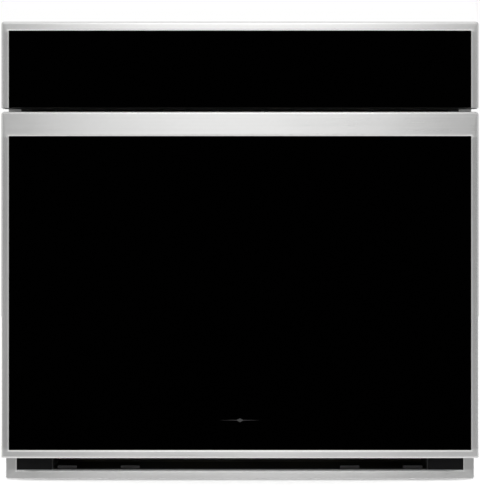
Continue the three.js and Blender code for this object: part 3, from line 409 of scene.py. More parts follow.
def black_paint():
    """Satin black powder paint."""
    values = {"Roughness": 0.42}
    material, tree, shader = new_material("black_powder_paint", values, (0.012, 0.012, 0.013))
    grain = noise(tree, object_place(tree), 1500.0, 2.0, 0.6)
    dust = effect(tree, DUST, {"Amount": 0.12})
    paint = blend_colours(tree, grain, (0.017, 0.017, 0.018), (0.034, 0.034, 0.035))
    link(tree, blend_colours(tree, dust["Mask"], paint, (0.09, 0.085, 0.08)), shader["Base Color"])
    link(tree, remap(tree, grain, 0.3, 0.7, 0.34, 0.5), shader["Roughness"])
    raise_surface(tree, shader, grain, 0.25, 0.0002)
    return material


def black_sheet_and_painted_shade():
    """Flat black heat paint for the sheet between the panes; on the plates seen down in the vents its
    near-black colour and low specular are painted shade.
    """
    # the very low specular and the near-black colour are painted shade where this closes the vent slot
    values = {"Roughness": 0.9, "Specular IOR Level": 0.06}
    material, tree, shader = new_material("black_paint_and_painted_shade", values, (0.007, 0.007, 0.007))
    grain = noise(tree, object_place(tree), 900.0, 2.0)
    paint = blend_colours(tree, grain, (0.004, 0.004, 0.004), (0.01, 0.01, 0.0105))
    link(tree, paint, shader["Base Color"])
    raise_surface(tree, shader, grain, 0.15, 0.1 * MM)
    return material


def black_plastic():
    """Fine-textured moulded plastic."""
    material, tree, shader = new_material("moulded_black", {"Roughness": 0.5}, (0.018, 0.018, 0.019))
    grain = noise(tree, object_place(tree), 2200.0, 3.0, 0.6)
    rub = effect(tree, EDGE_RUB, {"Amount": 0.3})
    body = blend_colours(tree, grain, (0.014, 0.014, 0.015), (0.023, 0.023, 0.024))
    link(tree, blend_colours(tree, rub["Mask"], body, (0.06, 0.06, 0.062)), shader["Base Color"])
    link(tree, remap(tree, grain, 0.3, 0.7, 0.42, 0.58), shader["Roughness"])
    raise_surface(tree, shader, grain, 0.3, 0.00015)
    return material


def chrome_wire():
    """Bright plated wire, a little warm where it has been hot."""
    material, tree, shader = new_material("plated_wire", {"Metallic": 1.0}, (0.76, 0.755, 0.74))
    patches = effect(tree, SMUDGES, {"Scale": 22.0, "Low": 0.0, "High": 1.0})
    tone = blend_colours(tree, patches["Value"], (0.77, 0.765, 0.75), (0.66, 0.63, 0.57))
    link(tree, tone, shader["Base Color"])
    link(tree, remap(tree, patches["Value"], 0.0, 1.0, 0.14, 0.26), shader["Roughness"])
    raise_surface(tree, shader, patches["Value"], 0.04, 0.0003)
    return material


def heated_sheath():
    """Element sheath gone dark and matt with heat."""
    material, tree, shader = new_material("heated_sheath", {"Metallic": 0.6}, (0.09, 0.085, 0.08))
    patches = effect(tree, SMUDGES, {"Scale": 45.0, "Low": 0.0, "High": 1.0})
    tone = blend_colours(tree, patches["Value"], (0.055, 0.052, 0.05), (0.15, 0.135, 0.12))
    link(tree, tone, shader["Base Color"])
    link(tree, remap(tree, patches["Value"], 0.0, 1.0, 0.45, 0.65), shader["Roughness"])
    raise_surface(tree, shader, noise(tree, object_place(tree), 1800.0, 3.0, 0.6), 0.2, 0.0001)
    return material


def plain_steel(name, dark, light, gloss, drawn):
    """Machined or rolled steel with drawing marks and rubbed edges."""
    material, tree, shader = new_material(name, {"Metallic": 1.0}, light)
    lines = effect(tree, BRUSHING, {"Stretch": drawn})
    rub = effect(tree, EDGE_RUB, {"Amount": 0.6})
    tone = blend_colours(tree, lines["Long Lines"], dark, light)
    link(tree, blend_colours(tree, rub["Mask"], tone, (0.72, 0.72, 0.71)), shader["Base Color"])
    link(tree, remap(tree, lines["Lines"], 0.0, 1.0, gloss - 0.06, gloss + 0.08), shader["Roughness"])
    raise_surface(tree, shader, lines["Lines"], 0.08, 0.00008)
    return material


def glass_wool():
    """Yellowish glass wool."""
    values = {"Roughness": 0.95, "Sheen Weight": 0.3}
    material, tree, shader = new_material("glass_wool", values, (0.66, 0.54, 0.26))
    matted = effect(tree, FIBRES, {"Scale": 240.0})
    fibres = blend_colours(tree, matted["Tone"], (0.42, 0.32, 0.13), (0.8, 0.71, 0.44))
    link(tree, fibres, shader["Base Color"])
    raise_surface(tree, shader, matted["Height"], 0.9, 0.003)
    return material


def woven_seal():
    """Braided glass-fibre rope over a wire core."""
    material, tree, shader = new_material("braided_seal", {"Roughness": 0.85}, (0.2, 0.2, 0.19))
    sleeve = effect(tree, BRAID, {"Scale": 1300.0})
    # the low places of the braid are coloured dark: painted shade between the strands
    strand = blend_colours(tree, sleeve["Shade"], (0.05, 0.05, 0.048), (0.24, 0.235, 0.22))
    link(tree, strand, shader["Base Color"])
    raise_surface(tree, shader, sleeve["Height"], 0.8, 0.0009)
    return material


def circuit():
    """Lacquered board and its dark components."""
    material, tree, shader = new_material("lacquered_board", {"Roughness": 0.35}, (0.02, 0.14, 0.05))
    tracks = add(tree, "ShaderNodeTexBrick", {"Scale": 160.0, "Mortar Size": 0.012}, offset=0.37)
    tracks.inputs["Color1"].default_value = (0.012, 0.1, 0.035, 1.0)
    tracks.inputs["Color2"].default_value = (0.018, 0.13, 0.05, 1.0)
    tracks.inputs["Mortar"].default_value = (0.06, 0.24, 0.09, 1.0)
    link(tree, object_place(tree), tracks.inputs["Vector"])
    link(tree, tracks.outputs["Color"], shader["Base Color"])
    lacquer = effect(tree, SMUDGES, {"Scale": 30.0, "Low": 0.28, "High": 0.45})
    link(tree, lacquer["Value"], shader["Roughness"])
    raise_surface(tree, shader, tracks.outputs["Fac"], 0.15, 0.0001)
    return material


def porcelain():
    """Unglazed lamp-holder ceramic."""
    material, tree, shader = new_material("unglazed_ceramic", {"Roughness": 0.6}, (0.8, 0.78, 0.72))
    patches = effect(tree, SMUDGES, {"Scale": 60.0, "Low": 0.0, "High": 1.0})
    clay = blend_colours(tree, patches["Value"], (0.82, 0.8, 0.74), (0.68, 0.64, 0.56))
    link(tree, clay, shader["Base Color"])
    raise_surface(tree, shader, noise(tree, object_place(tree), 900.0, 2.0, 0.6), 0.2, 0.0001)
    return material


def printed_ink():
    """Grey ceramic ink fired onto the glass."""
    material, tree, shader = new_material("fired_grey_ink", {"Roughness": 0.5}, (0.06, 0.06, 0.062))
    grain = noise(tree, object_place(tree), 3000.0, 2.0, 0.5)
    fired = blend_colours(tree, grain, (0.012, 0.012, 0.013), (0.026, 0.026, 0.027))
    link(tree, fired, shader["Base Color"])
    return material


LONG_STRETCH = (3.0, 1100.0, 1100.0)
UPRIGHT_STRETCH = (1100.0, 1100.0, 3.0)

STEEL_LONG = stainless("stainless_brushed_along", LONG_STRETCH, "X", 0.3, 0.95)
STEEL_UPRIGHT = stainless("stainless_brushed_upright", UPRIGHT_STRETCH, "Z", 0.37, 0.8)
ZINC = galvanised()
BLACK_GLASS = black_glass()
CLEAR_GLASS = clear_glass()
CAVITY_ENAMEL = enamel("cavity_enamel", (0.012, 0.015, 0.026), (0.3, 0.33, 0.4), 520.0)
DOOR_ENAMEL = enamel("door_enamel", (0.008, 0.008, 0.009), (0.12, 0.12, 0.13), 640.0)
BLACK_PAINT = black_paint()
BLACK_SHEET_AND_PAINTED_SHADE = black_sheet_and_painted_shade()
BLACK_PLASTIC = black_plastic()
CHROME = chrome_wire()
SHEATH = heated_sheath()
DRAWN = (900.0, 900.0, 14.0)
EVEN_GRAIN = (700.0, 700.0, 700.0)
HINGE_STEEL = plain_steel("hinge_steel", (0.34, 0.345, 0.35), (0.47, 0.475, 0.48), 0.34, DRAWN)
SPRING_STEEL = plain_steel("spring_steel", (0.13, 0.135, 0.14), (0.26, 0.265, 0.27), 0.3, EVEN_GRAIN)
SCREW_STEEL = plain_steel("plated_screw", (0.4, 0.41, 0.4), (0.56, 0.565, 0.55), 0.3, EVEN_GRAIN)
WOOL = glass_wool()
SEAL = woven_seal()
BOARD = circuit()
CERAMIC = porcelain()
INK = printed_ink()

# ------------------------------------------------------------------ mesh helpers


def flatten_faces(target):
    """Keeps large faces flat beside small rounded edges."""
    level = target.modifiers.new("flat_faces", "WEIGHTED_NORMAL")
    level.keep_sharp = True
    level.weight = 100


def finished(name, mesh, materials, body, smooth_angle=math.radians(32)):
    """An object of a mesh, shaded smooth up to an angle, riding on a body if one is given."""
    for material in materials:
        mesh.materials.append(material)
    mesh.set_sharp_from_angle(angle=smooth_angle)
    made = bpy.data.objects.new(name, mesh)
    bpy.context.collection.objects.link(made)
    flatten_faces(made)
    if body:
        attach(made, body)
    return made


def mesh_of(name, working):
    """A mesh made from a bmesh, smooth-shaded, with its faces pointing out."""
    bmesh.ops.recalc_face_normals(working, faces=working.faces)
    for face in working.faces:
        face.smooth = True
    mesh = bpy.data.meshes.new(name)
    working.to_mesh(mesh)
    working.free()
    return mesh


def bridge(working, first, second, closed):
    """Faces between two rows of vertices."""
    count = len(first)
    made = []
    for i in range(count if closed else count - 1):
        j = (i + 1) % count
        made.append(working.faces.new((first[i], first[j], second[j], second[i])))
    return made


def tube(working, rings):
    """A closed tube through rings of vertices."""
    for first, second in zip(rings, rings[1:]):
        bridge(working, first, second, True)
    working.faces.new(list(reversed(rings[0])))
    working.faces.new(rings[-1])


def prism(working, front, rear):
    """A closed solid between two like outlines."""
    working.faces.new(front)
    working.faces.new(list(reversed(rear)))
    bridge(working, front, rear, True)


def corner(cx, cz, radius, start, steps):
    """Points of a quarter turn about a corner, start in degrees."""
    points = []
    for i in range(steps + 1):
        angle = math.radians(start + 90 * i / steps)
        points.append((cx + radius * math.cos(angle), cz + radius * math.sin(angle)))
    return points


def frame_outline(rect, inset, radii, seams, steps, stops=()):
    """A rectangle set in from another, anticlockwise from the front, with its corners rounded.

    inset and radii are given for left, right, bottom, top and for the upper and lower corners.
    seams are heights at which both sides get one more point, and stops are places along the lower side.
    """
    x0, x1, z0, z1 = rect
    left, right, bottom, top = inset
    x0, x1, z0, z1 = x0 + left, x1 - right, z0 + bottom, z1 - top
    upper, lower = radii
    side = [(x1, z) for z in seams]
    points = corner(x1 - lower, z0 + lower, lower, -90, steps) + side
    points += corner(x1 - upper, z1 - upper, upper, 0, steps)
    points += corner(x0 + upper, z1 - upper, upper, 90, steps)
    points += [(x0, z) for _, z in reversed(side)] + corner(x0 + lower, z0 + lower, lower, 180, steps)
    return points + [(x, z0) for x in stops]


def round_over(radius, steps):
    """Depth and inset of the points of a rounded front edge."""
    points = []
    for i in range(steps + 1):
        angle = math.pi / 2 * i / steps
        points.append((radius * (1 - math.sin(angle)), radius * (1 - math.cos(angle))))
    return points


def sweep_rows(working, rows, closed_path, upright_faces=(), openings=(), opened=()):
    """Bridges each row of points to the next and the last to the first, and caps an open path.

    openings are columns left out between the opened rows, which are named by their first row.
    """
    made = [[working.verts.new(point) for point in row] for row in rows]
    for i, (first, second) in enumerate(zip(made, made[1:] + made[:1])):
        faces = bridge(working, first, second, closed_path)
        for j, face in enumerate(faces):
            face.material_index = int(j in upright_faces)
        if i in opened:
            bmesh.ops.delete(working, geom=[faces[j] for j in openings], context="FACES")
    if not closed_path:
        for end in (0, -1):
            working.faces.new([row[end] for row in made])
    for start in openings:
        ends = [made[i] for i in (*opened, (opened[-1] + 1) % len(made))]
        for column in (start, start + 1):
            working.faces.new([row[column] for row in ends])
        inner, outer = ends[0], ends[-1]
        working.faces.new((inner[start], inner[start + 1], outer[start + 1], outer[start]))


def wires(name, runs, radius, material, body):
    """Round wires along runs of points; a run is (points, closed)."""
    curve = bpy.data.curves.new(name, "CURVE")
    curve.dimensions = "3D"
    curve.bevel_depth = radius
    curve.bevel_resolution = 4
    curve.use_fill_caps = True
    for points, closed in runs:
        spline = curve.splines.new("POLY")
        spline.points.add(len(points) - 1)
        for target, point in zip(spline.points, points):
            target.co = (*point, 1.0)
        spline.use_cyclic_u = closed
    curve.materials.append(material)
    made = bpy.data.objects.new(name, curve)
    bpy.context.collection.objects.link(made)
    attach(made, body)
    return made


def rounded_run(points, radius, steps=6, closed=False):
    """The same run of points with each turn rounded."""
    points = [Vector(point) for point in points]
    count = len(points)
    out = []
    for i, here in enumerate(points):
        if not closed and i in (0, count - 1):
            out.append(here)
            continue
        before, after = points[i - 1], points[(i + 1) % count]
        to_before, to_after = before - here, after - here
        half_angle = to_before.angle(to_after) / 2
        reach = min(radius / math.tan(half_angle), to_before.length / 2, to_after.length / 2)
        first, last = here + to_before.normalized() * reach, here + to_after.normalized() * reach
        for step in range(steps + 1):
            t = step / steps
            out.append(first * (1 - t) ** 2 + here * 2 * t * (1 - t) + last * t**2)
    return out


def evenly(first, last, count):
    """Values spread evenly from first to last."""
    return [first + (last - first) * i / (count - 1) for i in range(count)]


# ------------------------------------------------------------------ stainless skins of the front

CORNER_STEPS = 6
EDGE_STEPS = 6
SHEET_EDGE = 0.3 * MM
SEAM = 2 * MM  # the joint between bars sits this far inside the window's corners
ARM_ROOM = {"side": 1.5 * MM, "front": 13 * MM}  # the door's slots for the hinge arms, from arm and pin
LIP_ROWS = ((0.0, LIP + 0.5 * MM), (0.1 * MM, LIP), (SKIN - 0.1 * MM, 0.0), (SKIN, 0.0))
RIGHT_SIDE = CORNER_STEPS + 1  # the columns of faces along the upright bars
LEFT_SIDE = 3 * (CORNER_STEPS + 1) + 2


def stainless_skin(name, working, body, node):
    """A skin of the front, brushed along its bars, in the place of its node."""
    mesh = mesh_of(name, working)
    made = finished(name, mesh, [STEEL_LONG, STEEL_UPRIGHT], body, math.radians(40))
    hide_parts(node)


def door_skin():
    """The door's pressed frame around its glass, open at its back, with slots for the hinge arms."""
    low, high = box("door_frame")
    rect = (low.x, high.x, low.z, high.z)
    side, bottom, top = DOOR_BARS["side"], DOOR_BARS["bottom"], DOOR_BARS["top"]
    upper_corner, lower_corner = 5 * MM, 2.2 * MM
    seams = (low.z + bottom + SEAM, high.z - top - SEAM)
    inner_radius = 1.2 * MM
    arm_low, arm_high = box("hinge_arm_right")
    pin_low, pin_high = box("hinge_pin_right")
    slot = (arm_low.x - ARM_ROOM["side"], arm_high.x + ARM_ROOM["side"])
    slot_front = (pin_low.y + pin_high.y) / 2 - ARM_ROOM["front"]
    stops = (-slot[1], -slot[0], slot[0], slot[1])

    def row(y, inset, radii):
        points = frame_outline(rect, inset, radii, seams, CORNER_STEPS, stops)
        return [Vector((x, y, z)) for x, z in points]

    def even(y, inset, radius_loss=None):
        loss = inset if radius_loss is None else radius_loss
        radii = [max(radius - loss, 0.2 * MM) for radius in (upper_corner, lower_corner)]
        return row(y, (inset,) * 4, radii)

    def at_window(y, step_out):
        insets = (side - step_out, side - step_out, bottom - step_out, top - step_out)
        return row(y, insets, (inner_radius, inner_radius))

    front, back = low.y, high.y
    rows = [even(slot_front, SKIN), even(back, SKIN)]
    rows += [even(back, SHEET_EDGE), even(back - SHEET_EDGE, 0.0), even(slot_front, 0.0)]
    rows += [even(front + depth, inset) for depth, inset in round_over(DOOR_ROUND, EDGE_STEPS)]
    rows += [at_window(front + depth, step_out) for depth, step_out in LIP_ROWS]
    rows += [even(front + SKIN, SKIN + 0.2 * MM, upper_corner)]
    rows += [even(front + SKIN + 0.2 * MM, SKIN, upper_corner)]
    working = bmesh.new()
    lower_side = len(rows[0]) - len(stops)
    openings = (lower_side, lower_side + 2)
    sweep_rows(working, rows, True, {RIGHT_SIDE, LEFT_SIDE}, openings, (0, 1, 2, 3))
    stainless_skin("door_skin", working, "door", "door_frame")


def panel_skin():
    """The control panel's skin: a top bar and two side bars, open below and behind."""
    node = "panel_bezel"
    low, high = box(node)
    side, top = PANEL_BARS["side"], PANEL_BARS["top"]
    corner_radius = 5 * MM

    def arch(y, side_inset, top_inset, radius):
        x0, x1, z1 = low.x + side_inset, high.x - side_inset, high.z - top_inset
        right = [(x1, low.z), (x1, high.z - top - SEAM)]
        turn = corner(x1 - radius, z1 - radius, radius, 0, CORNER_STEPS)
        turn += corner(x0 + radius, z1 - radius, radius, 90, CORNER_STEPS)
        left = [(x0, high.z - top - SEAM), (x0, low.z)]
        return [Vector((x, y, z)) for x, z in right + turn + left]

    def even(y, inset, loss=None):
        return arch(y, inset, inset, max(corner_radius - (inset if loss is None else loss), 0.2 * MM))

    front, back = low.y, high.y
    rows = [even(back, SKIN), even(back, SHEET_EDGE), even(back - SHEET_EDGE, 0.0)]
    for depth, inset in round_over(1.0, EDGE_STEPS):
        side_inset = DOOR_ROUND * inset
        top_inset = PANEL_ROUND * inset
        rounding = corner_radius * (1 - 0.6 * inset)
        rows.append(arch(front + PANEL_ROUND * depth, side_inset, top_inset, rounding))
    for depth, step_out in LIP_ROWS:
        rows.append(arch(front + depth, side - step_out, top - step_out, 1.2 * MM))
    rows += [even(front + SKIN, SKIN + 0.2 * MM, corner_radius)]
    rows += [even(front + SKIN + 0.2 * MM, SKIN, corner_radius)]
    working = bmesh.new()
    last = len(rows[0]) - 2
    sweep_rows(working, rows, False, {0, last})
    stainless_skin("panel_skin", working, "chassis", node)


def trim_plate():
    """The lower trim: a flat plate around the vent slot, with its edges broken."""
    node = "lower_vent_trim"
    low, high = box(node)
    rect = (low.x, high.x, low.z, high.z)
    side, bottom, top = TRIM_BARS["side"], TRIM_BARS["bottom"], TRIM_BARS["top"]
    outer_radius, broken = 3.0 * MM, 0.8 * MM
    seams = (low.z + bottom + SEAM, high.z - top - SEAM)

    def outer(y, inset):
        radius = outer_radius - inset
        points = frame_outline(rect, (inset,) * 4, (radius, radius), seams, CORNER_STEPS)
        return [Vector((x, y, z)) for x, z in points]

    def inner(y, step_out):
        insets = (side - step_out, side - step_out, bottom - step_out, top - step_out)
        points = frame_outline(rect, insets, (1.5 * MM, 1.5 * MM), seams, CORNER_STEPS)
        return [Vector((x, y, z)) for x, z in points]

    rows = [outer(high.y, 0.0)]
    rows += [outer(low.y + depth, inset) for depth, inset in round_over(broken, 3)]
    rows += [inner(low.y, LIP), inner(low.y + LIP * 0.7, 0.0), inner(high.y, 0.0)]
    working = bmesh.new()
    sweep_rows(working, rows, True, {RIGHT_SIDE, LEFT_SIDE})
    stainless_skin("trim_plate", working, "chassis", node)


# ------------------------------------------------------------------ carried-over nodes


FLAT = math.radians(0.5)  # faces that turn by less become one
ROUNDED = math.radians(35)  # edges that turn by less are shaded smooth
SHARP = math.radians(38)  # edges that turn by more are broken


def geometry_group(name):
    """An empty group of geometry nodes, with its way in and its way out."""
    tree = bpy.data.node_groups.new(name, "GeometryNodeTree")
    for way in ("INPUT", "OUTPUT"):
        tree.interface.new_socket(name="Geometry", in_out=way, socket_type="NodeSocketGeometry")
    start, end = tree.nodes.new("NodeGroupInput"), tree.nodes.new("NodeGroupOutput")
    return tree, start.outputs["Geometry"], end.inputs["Geometry"]


def merged_group():
    """Joins the corners that touching faces share."""
    tree, given, out = geometry_group("join_corners")
    merge = tree.nodes.new("GeometryNodeMergeByDistance")
    merge.inputs["Distance"].default_value = 0.01 * MM
    link(tree, given, merge.inputs["Geometry"])
    link(tree, merge.outputs["Geometry"], out)
    return tree


def smooth_group():
    """Shades smooth, and keeps the edges that turn by more than an angle sharp."""
    tree, given, out = geometry_group("smooth_curves")
    faces = tree.nodes.new("GeometryNodeSetShadeSmooth")
    edges = tree.nodes.new("GeometryNodeSetShadeSmooth")
    edges.domain = "EDGE"
    angle = tree.nodes.new("GeometryNodeInputMeshEdgeAngle")
    limit = tree.nodes.new("FunctionNodeCompare")
    limit.operation = "LESS_THAN"
    limit.inputs["B"].default_value = ROUNDED
    link(tree, angle.outputs["Unsigned Angle"], limit.inputs["A"])
    link(tree, given, faces.inputs["Geometry"])
    link(tree, faces.outputs["Geometry"], edges.inputs["Geometry"])
    link(tree, limit.outputs["Result"], edges.inputs["Shade Smooth"])
    link(tree, edges.outputs["Geometry"], out)
    return tree


# a left and right pair is named by what comes before its side
FINISHES = {
    "base_pan": ZINC,
    "side_panel": ZINC,
    "rear_panel": ZINC,
    "top_panel": ZINC,
    "service_deck": ZINC,
    "mounting_flange": STEEL_UPRIGHT,
    "lower_vent_duct": BLACK_PAINT,
    "upper_vent_grille": BLACK_PAINT,
    "cavity_liner": CAVITY_ENAMEL,
    "insulation_wrap": WOOL,
    "insulation_rear": WOOL,
    "bake_element": SHEATH,
    "convection_element": SHEATH,
    "fan_cover": CAVITY_ENAMEL,
    "convection_fan": HINGE_STEEL,
    "convection_motor": SPRING_STEEL,
    "lamp_housing": CERAMIC,
    "lamp_lens": CLEAR_GLASS,
    "temperature_sensor": CHROME,
    "blower_housing": ZINC,
    "blower_wheel": ZINC,
    "blower_motor": SPRING_STEEL,
    "power_board": BOARD,
    "lock_motor": BLACK_PLASTIC,
    "lock_hook": HINGE_STEEL,
    "conduit_gland": HINGE_STEEL,
    "panel_glass": BLACK_GLASS,
    "panel_housing": BLACK_PLASTIC,
    "display_module": BOARD,
    "door_outer_glass": BLACK_GLASS,
    "door_inner_liner": DOOR_ENAMEL,
    "door_middle_glass": CLEAR_GLASS,
    "door_inner_glass": CLEAR_GLASS,
    "door_insulation": WOOL,
    "hinge_arm": HINGE_STEEL,
    "hinge_receptor": ZINC,
    "hinge_channel": ZINC,
    "hinge_pin": HINGE_STEEL,
    "hinge_rod": HINGE_STEEL,
}
EDGE_BREAKS = {"default": 0.3 * MM, "insulation_wrap": 2.5 * MM, "insulation_rear": 2.5 * MM}


def finish_nodes():
    """Gives every node that stays its finish, joined corners, broken edges and smooth curves."""
    merge, smooth = merged_group(), smooth_group()
    for name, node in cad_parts.items():
        key = name if name in FINISHES else name.rsplit("_", 1)[0]
        if key not in FINISHES:
            continue
        if not node.material_slots:
            raise RuntimeError(f"{name} has no material slot")
        for slot in node.material_slots:
            slot.material = FINISHES[key]
        joined = node.modifiers.new("join_corners", "NODES")
        joined.node_group = merge
        flats = node.modifiers.new("join_flats", "DECIMATE")
        flats.decimate_type = "DISSOLVE"
        flats.angle_limit = FLAT
        edges = node.modifiers.new("broken_edges", "BEVEL")
        edges.width = EDGE_BREAKS.get(name, EDGE_BREAKS["default"])
        edges.segments = 2
        edges.limit_method = "ANGLE"
        edges.angle_limit = SHARP
        edges.use_clamp_overlap = True
        curves = node.modifiers.new("smooth_curves", "NODES")
        curves.node_group = smooth
        flatten_faces(node)


# ------------------------------------------------------------------ wire racks and guides

WIRE = {"frame": 3.0 * MM, "slat": 2.0 * MM, "guide": 3.0 * MM}
RACK = {
    "slats": 19,
    "corner": 14 * MM,  # bend of the frame's corners
    "stop": 17 * MM,  # from the frame's side to the stop's end
    "stop_bend": 9 * MM,
    "slat_bend": 4 * MM,
    "weld": 0.4 * MM,  # how far a slat's ends reach below the frame's centre
}
GUIDE = {
    "rails": 7,
    "end": 12 * MM,  # from the guide's ends to its first and last rail
    "post": 12 * MM,  # from its front and its back to the posts
    "bend": 5 * MM,
    "weld": 1.5 * MM,  # how far a rail's ends pass the posts' centres
}


def rack_wires(node):
    """A chrome rack: a bent frame, slats that turn down over it, and a stop along its back."""
    low, high = box(node)
    r, thin = WIRE["frame"], WIRE["slat"]
    x, front, back = high.x - r, low.y + r, high.y - r
    level, top = low.z + r, high.z - r
    corners = [(-x, front, level), (x, front, level), (x, back, level), (-x, back, level)]
    frame_run = (rounded_run(corners, RACK["corner"], 8, True), True)
    middle = (front + back) / 2
    cross = ([(-x, middle, level), (x, middle, level)], False)
    end = x - RACK["stop"]
    stop = [(-end, back, level), (-end, back, top), (end, back, top), (end, back, level)]
    runs = [frame_run, cross, (rounded_run(stop, RACK["stop_bend"]), False)]
    heavy = wires(f"{node}_frame", runs, r, CHROME, node)
    lift, foot = level + r + thin, level - RACK["weld"]
    first, last = front - r + thin, back + r - thin
    slats = []
    for i in range(RACK["slats"]):
        at = -x + 2 * x * (i + 1) / (RACK["slats"] + 1)
        run = [(at, first, foot), (at, first, lift), (at, last, lift), (at, last, foot)]
        slats.append((rounded_run(run, RACK["slat_bend"]), False))
    wires(f"{node}_slats", slats, thin, CHROME, node)
    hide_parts(node)


def guide_wires(side):
    """A side guide: two posts and a ladder of rails whose ends turn back to the wall."""
    node = f"rack_guide_{side}"
    low, high = box(node)
    r = WIRE["guide"]
    sign = -1 if side == "left" else 1
    rail_x, post_x = sorted((low.x + r, high.x - r), key=abs)
    front, back, tip = low.y + r, high.y - r, post_x + sign * GUIDE["weld"]
    runs = []
    for y in (low.y + GUIDE["post"], high.y - GUIDE["post"]):
        runs.append(([(post_x, y, low.z), (post_x, y, high.z)], False))
    for z in evenly(low.z + GUIDE["end"], high.z - GUIDE["end"], GUIDE["rails"]):
        run = [(tip, front, z), (rail_x, front, z), (rail_x, back, z), (tip, back, z)]
        runs.append((rounded_run(run, GUIDE["bend"]), False))
    made = wires(f"{node}_wires", runs, r, CHROME, "chassis")
    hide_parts(node)


# ------------------------------------------------------------------ heat, seal and small parts

BROIL = {
    "passes": 10,
    "drop": 22 * MM,  # from the cavity's ceiling
    "tail": 12 * MM,  # from the rear bends to the element's end
    "steps": 10,
}
HANGER = {
    "wire": 1.1 * MM,
    "bend": 3 * MM,
    "reach": 0.6,  # half of its width, in pitches of the rod
    "rows": (0.14, 0.62),  # as shares of the way from front to rear
    "passes": (2, 7),  # the passes of the rod that it is centred on
}


def broil_rod():
    """The broil element's rod, with bent wire hangers that hold it off the ceiling."""
    node = "broil_element"
    low, high = box(node)
    radius = (high.z - low.z) / 2
    z = (low.z + high.z) / 2
    half = high.x - radius
    passes = BROIL["passes"]
    pitch = 2 * half / (passes - 1)
    bend = pitch / 2
    front = low.y + radius + bend
    rear = high.y - bend - BROIL["tail"]
    points = []
    for i in range(passes):
        x = -half + i * pitch
        ends = [rear, front] if i % 2 == 0 else [front, rear]
        if i == 0:
            ends[0] = high.y
        if i == passes - 1:
            ends[1] = high.y
        points += [(x, ends[0], z), (x, ends[1], z)]
        if i < passes - 1:
            outward = -1 if i % 2 == 0 else 1
            for step in range(1, BROIL["steps"]):
                angle = math.pi * step / BROIL["steps"]
                across, along = bend - bend * math.cos(angle), outward * bend * math.sin(angle)
                points.append((x + across, ends[1] + along, z))
    rod = wires("broil_rod", [(points, False)], radius, SHEATH, "chassis")
    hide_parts(node)
    ceiling = z + BROIL["drop"] - CLEAR
    bottom = z - radius - HANGER["wire"]
    reach = HANGER["reach"] * pitch
    runs = []
    for y in [front + share * (rear - front) for share in HANGER["rows"]]:
        for x in [-half + place * pitch for place in HANGER["passes"]]:
            run = [(x - reach, y, ceiling), (x - reach, y, bottom)]
            run += [(x + reach, y, bottom), (x + reach, y, ceiling)]
            runs.append((rounded_run(run, HANGER["bend"]), False))
    wires("broil_hangers", runs, HANGER["wire"], SHEATH, "chassis")


SPRING = {"wire": 1.1 * MM, "radius": 4.7 * MM, "turns": 10, "steps": 24, "sides": 10, "closed": 0.07}


def spring_coils():
    """The hinges' springs, each pressed together between the door and its roller rod."""
    up = Vector((0, 0, 1))
    wire = SPRING["wire"]
    for side in ("left", "right"):
        node = f"hinge_spring_{side}"
        low, high = box(node)
        foot = Vector(((low.x + high.x) / 2, (low.y + high.y) / 2, low.z + wire))
        length = high.z - low.z - 2 * wire
        count = SPRING["turns"] * SPRING["steps"]
        working = bmesh.new()
        rings = []
        for i in range(count + 1):
            turn = 2 * math.pi * i / SPRING["steps"]
            rise = (i / count - SPRING["closed"]) / (1 - 2 * SPRING["closed"])
            outward = Vector((math.cos(turn), math.sin(turn), 0))
            place = foot + up * length * min(max(rise, 0.0), 1.0) + outward * SPRING["radius"]
            ring = []
            for j in range(SPRING["sides"]):
                around = 2 * math.pi * j / SPRING["sides"]
                across = math.cos(around) * outward + math.sin(around) * up
                ring.append(working.verts.new(place + wire * across))
            rings.append(ring)
        tube(working, rings)
        name = f"spring_coil_{side}"
        made = finished(name, mesh_of(name, working), [SPRING_STEEL], None)
        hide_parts(node)
        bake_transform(made)


ROPE = {"half_width": 5 * MM, "corner": 29 * MM, "sides": 14, "corner_steps": 12}


def seal_rope():
    """The braided seal around the cavity's mouth, an oval rope on its clip rail."""
    node = "cavity_gasket"
    low, high = box(node)
    deep, wide = (high.y - low.y) / 2, ROPE["half_width"]
    centre = (low.y + high.y) / 2
    rect = (low.x + wide, high.x - wide, low.z + wide, high.z - wide)
    spine = frame_outline(rect, (0.0,) * 4, (ROPE["corner"],) * 2, (), ROPE["corner_steps"])
    count = len(spine)
    rows = []
    for k in range(ROPE["sides"]):
        angle = 2 * math.pi * k / ROPE["sides"]
        out, depth = wide * math.cos(angle), deep * math.sin(angle)
        row = []
        for i, (x, z) in enumerate(spine):
            ahead, behind = Vector(spine[(i + 1) % count]), Vector(spine[i - 1])
            along = (ahead - behind).normalized()
            row.append(Vector((x + out * along.y, centre + depth, z - out * along.x)))
        rows.append(row)
    working = bmesh.new()
    sweep_rows(working, rows, True)
    mesh = mesh_of("seal_rope", working)
    made = finished("seal_rope", mesh, [SEAL], "chassis", math.radians(60))
    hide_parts(node)


def ring_radius(kind, size, angle):
    """The outline of a screw head: round, six-sided or a star recess."""
    if kind == "hex":
        sector = (angle % (math.pi / 3)) - math.pi / 6
        return size * math.cos(math.pi / 6) / math.cos(sector)
    if kind == "star":
        return size * (0.82 + 0.18 * math.cos(6 * angle))
    return size


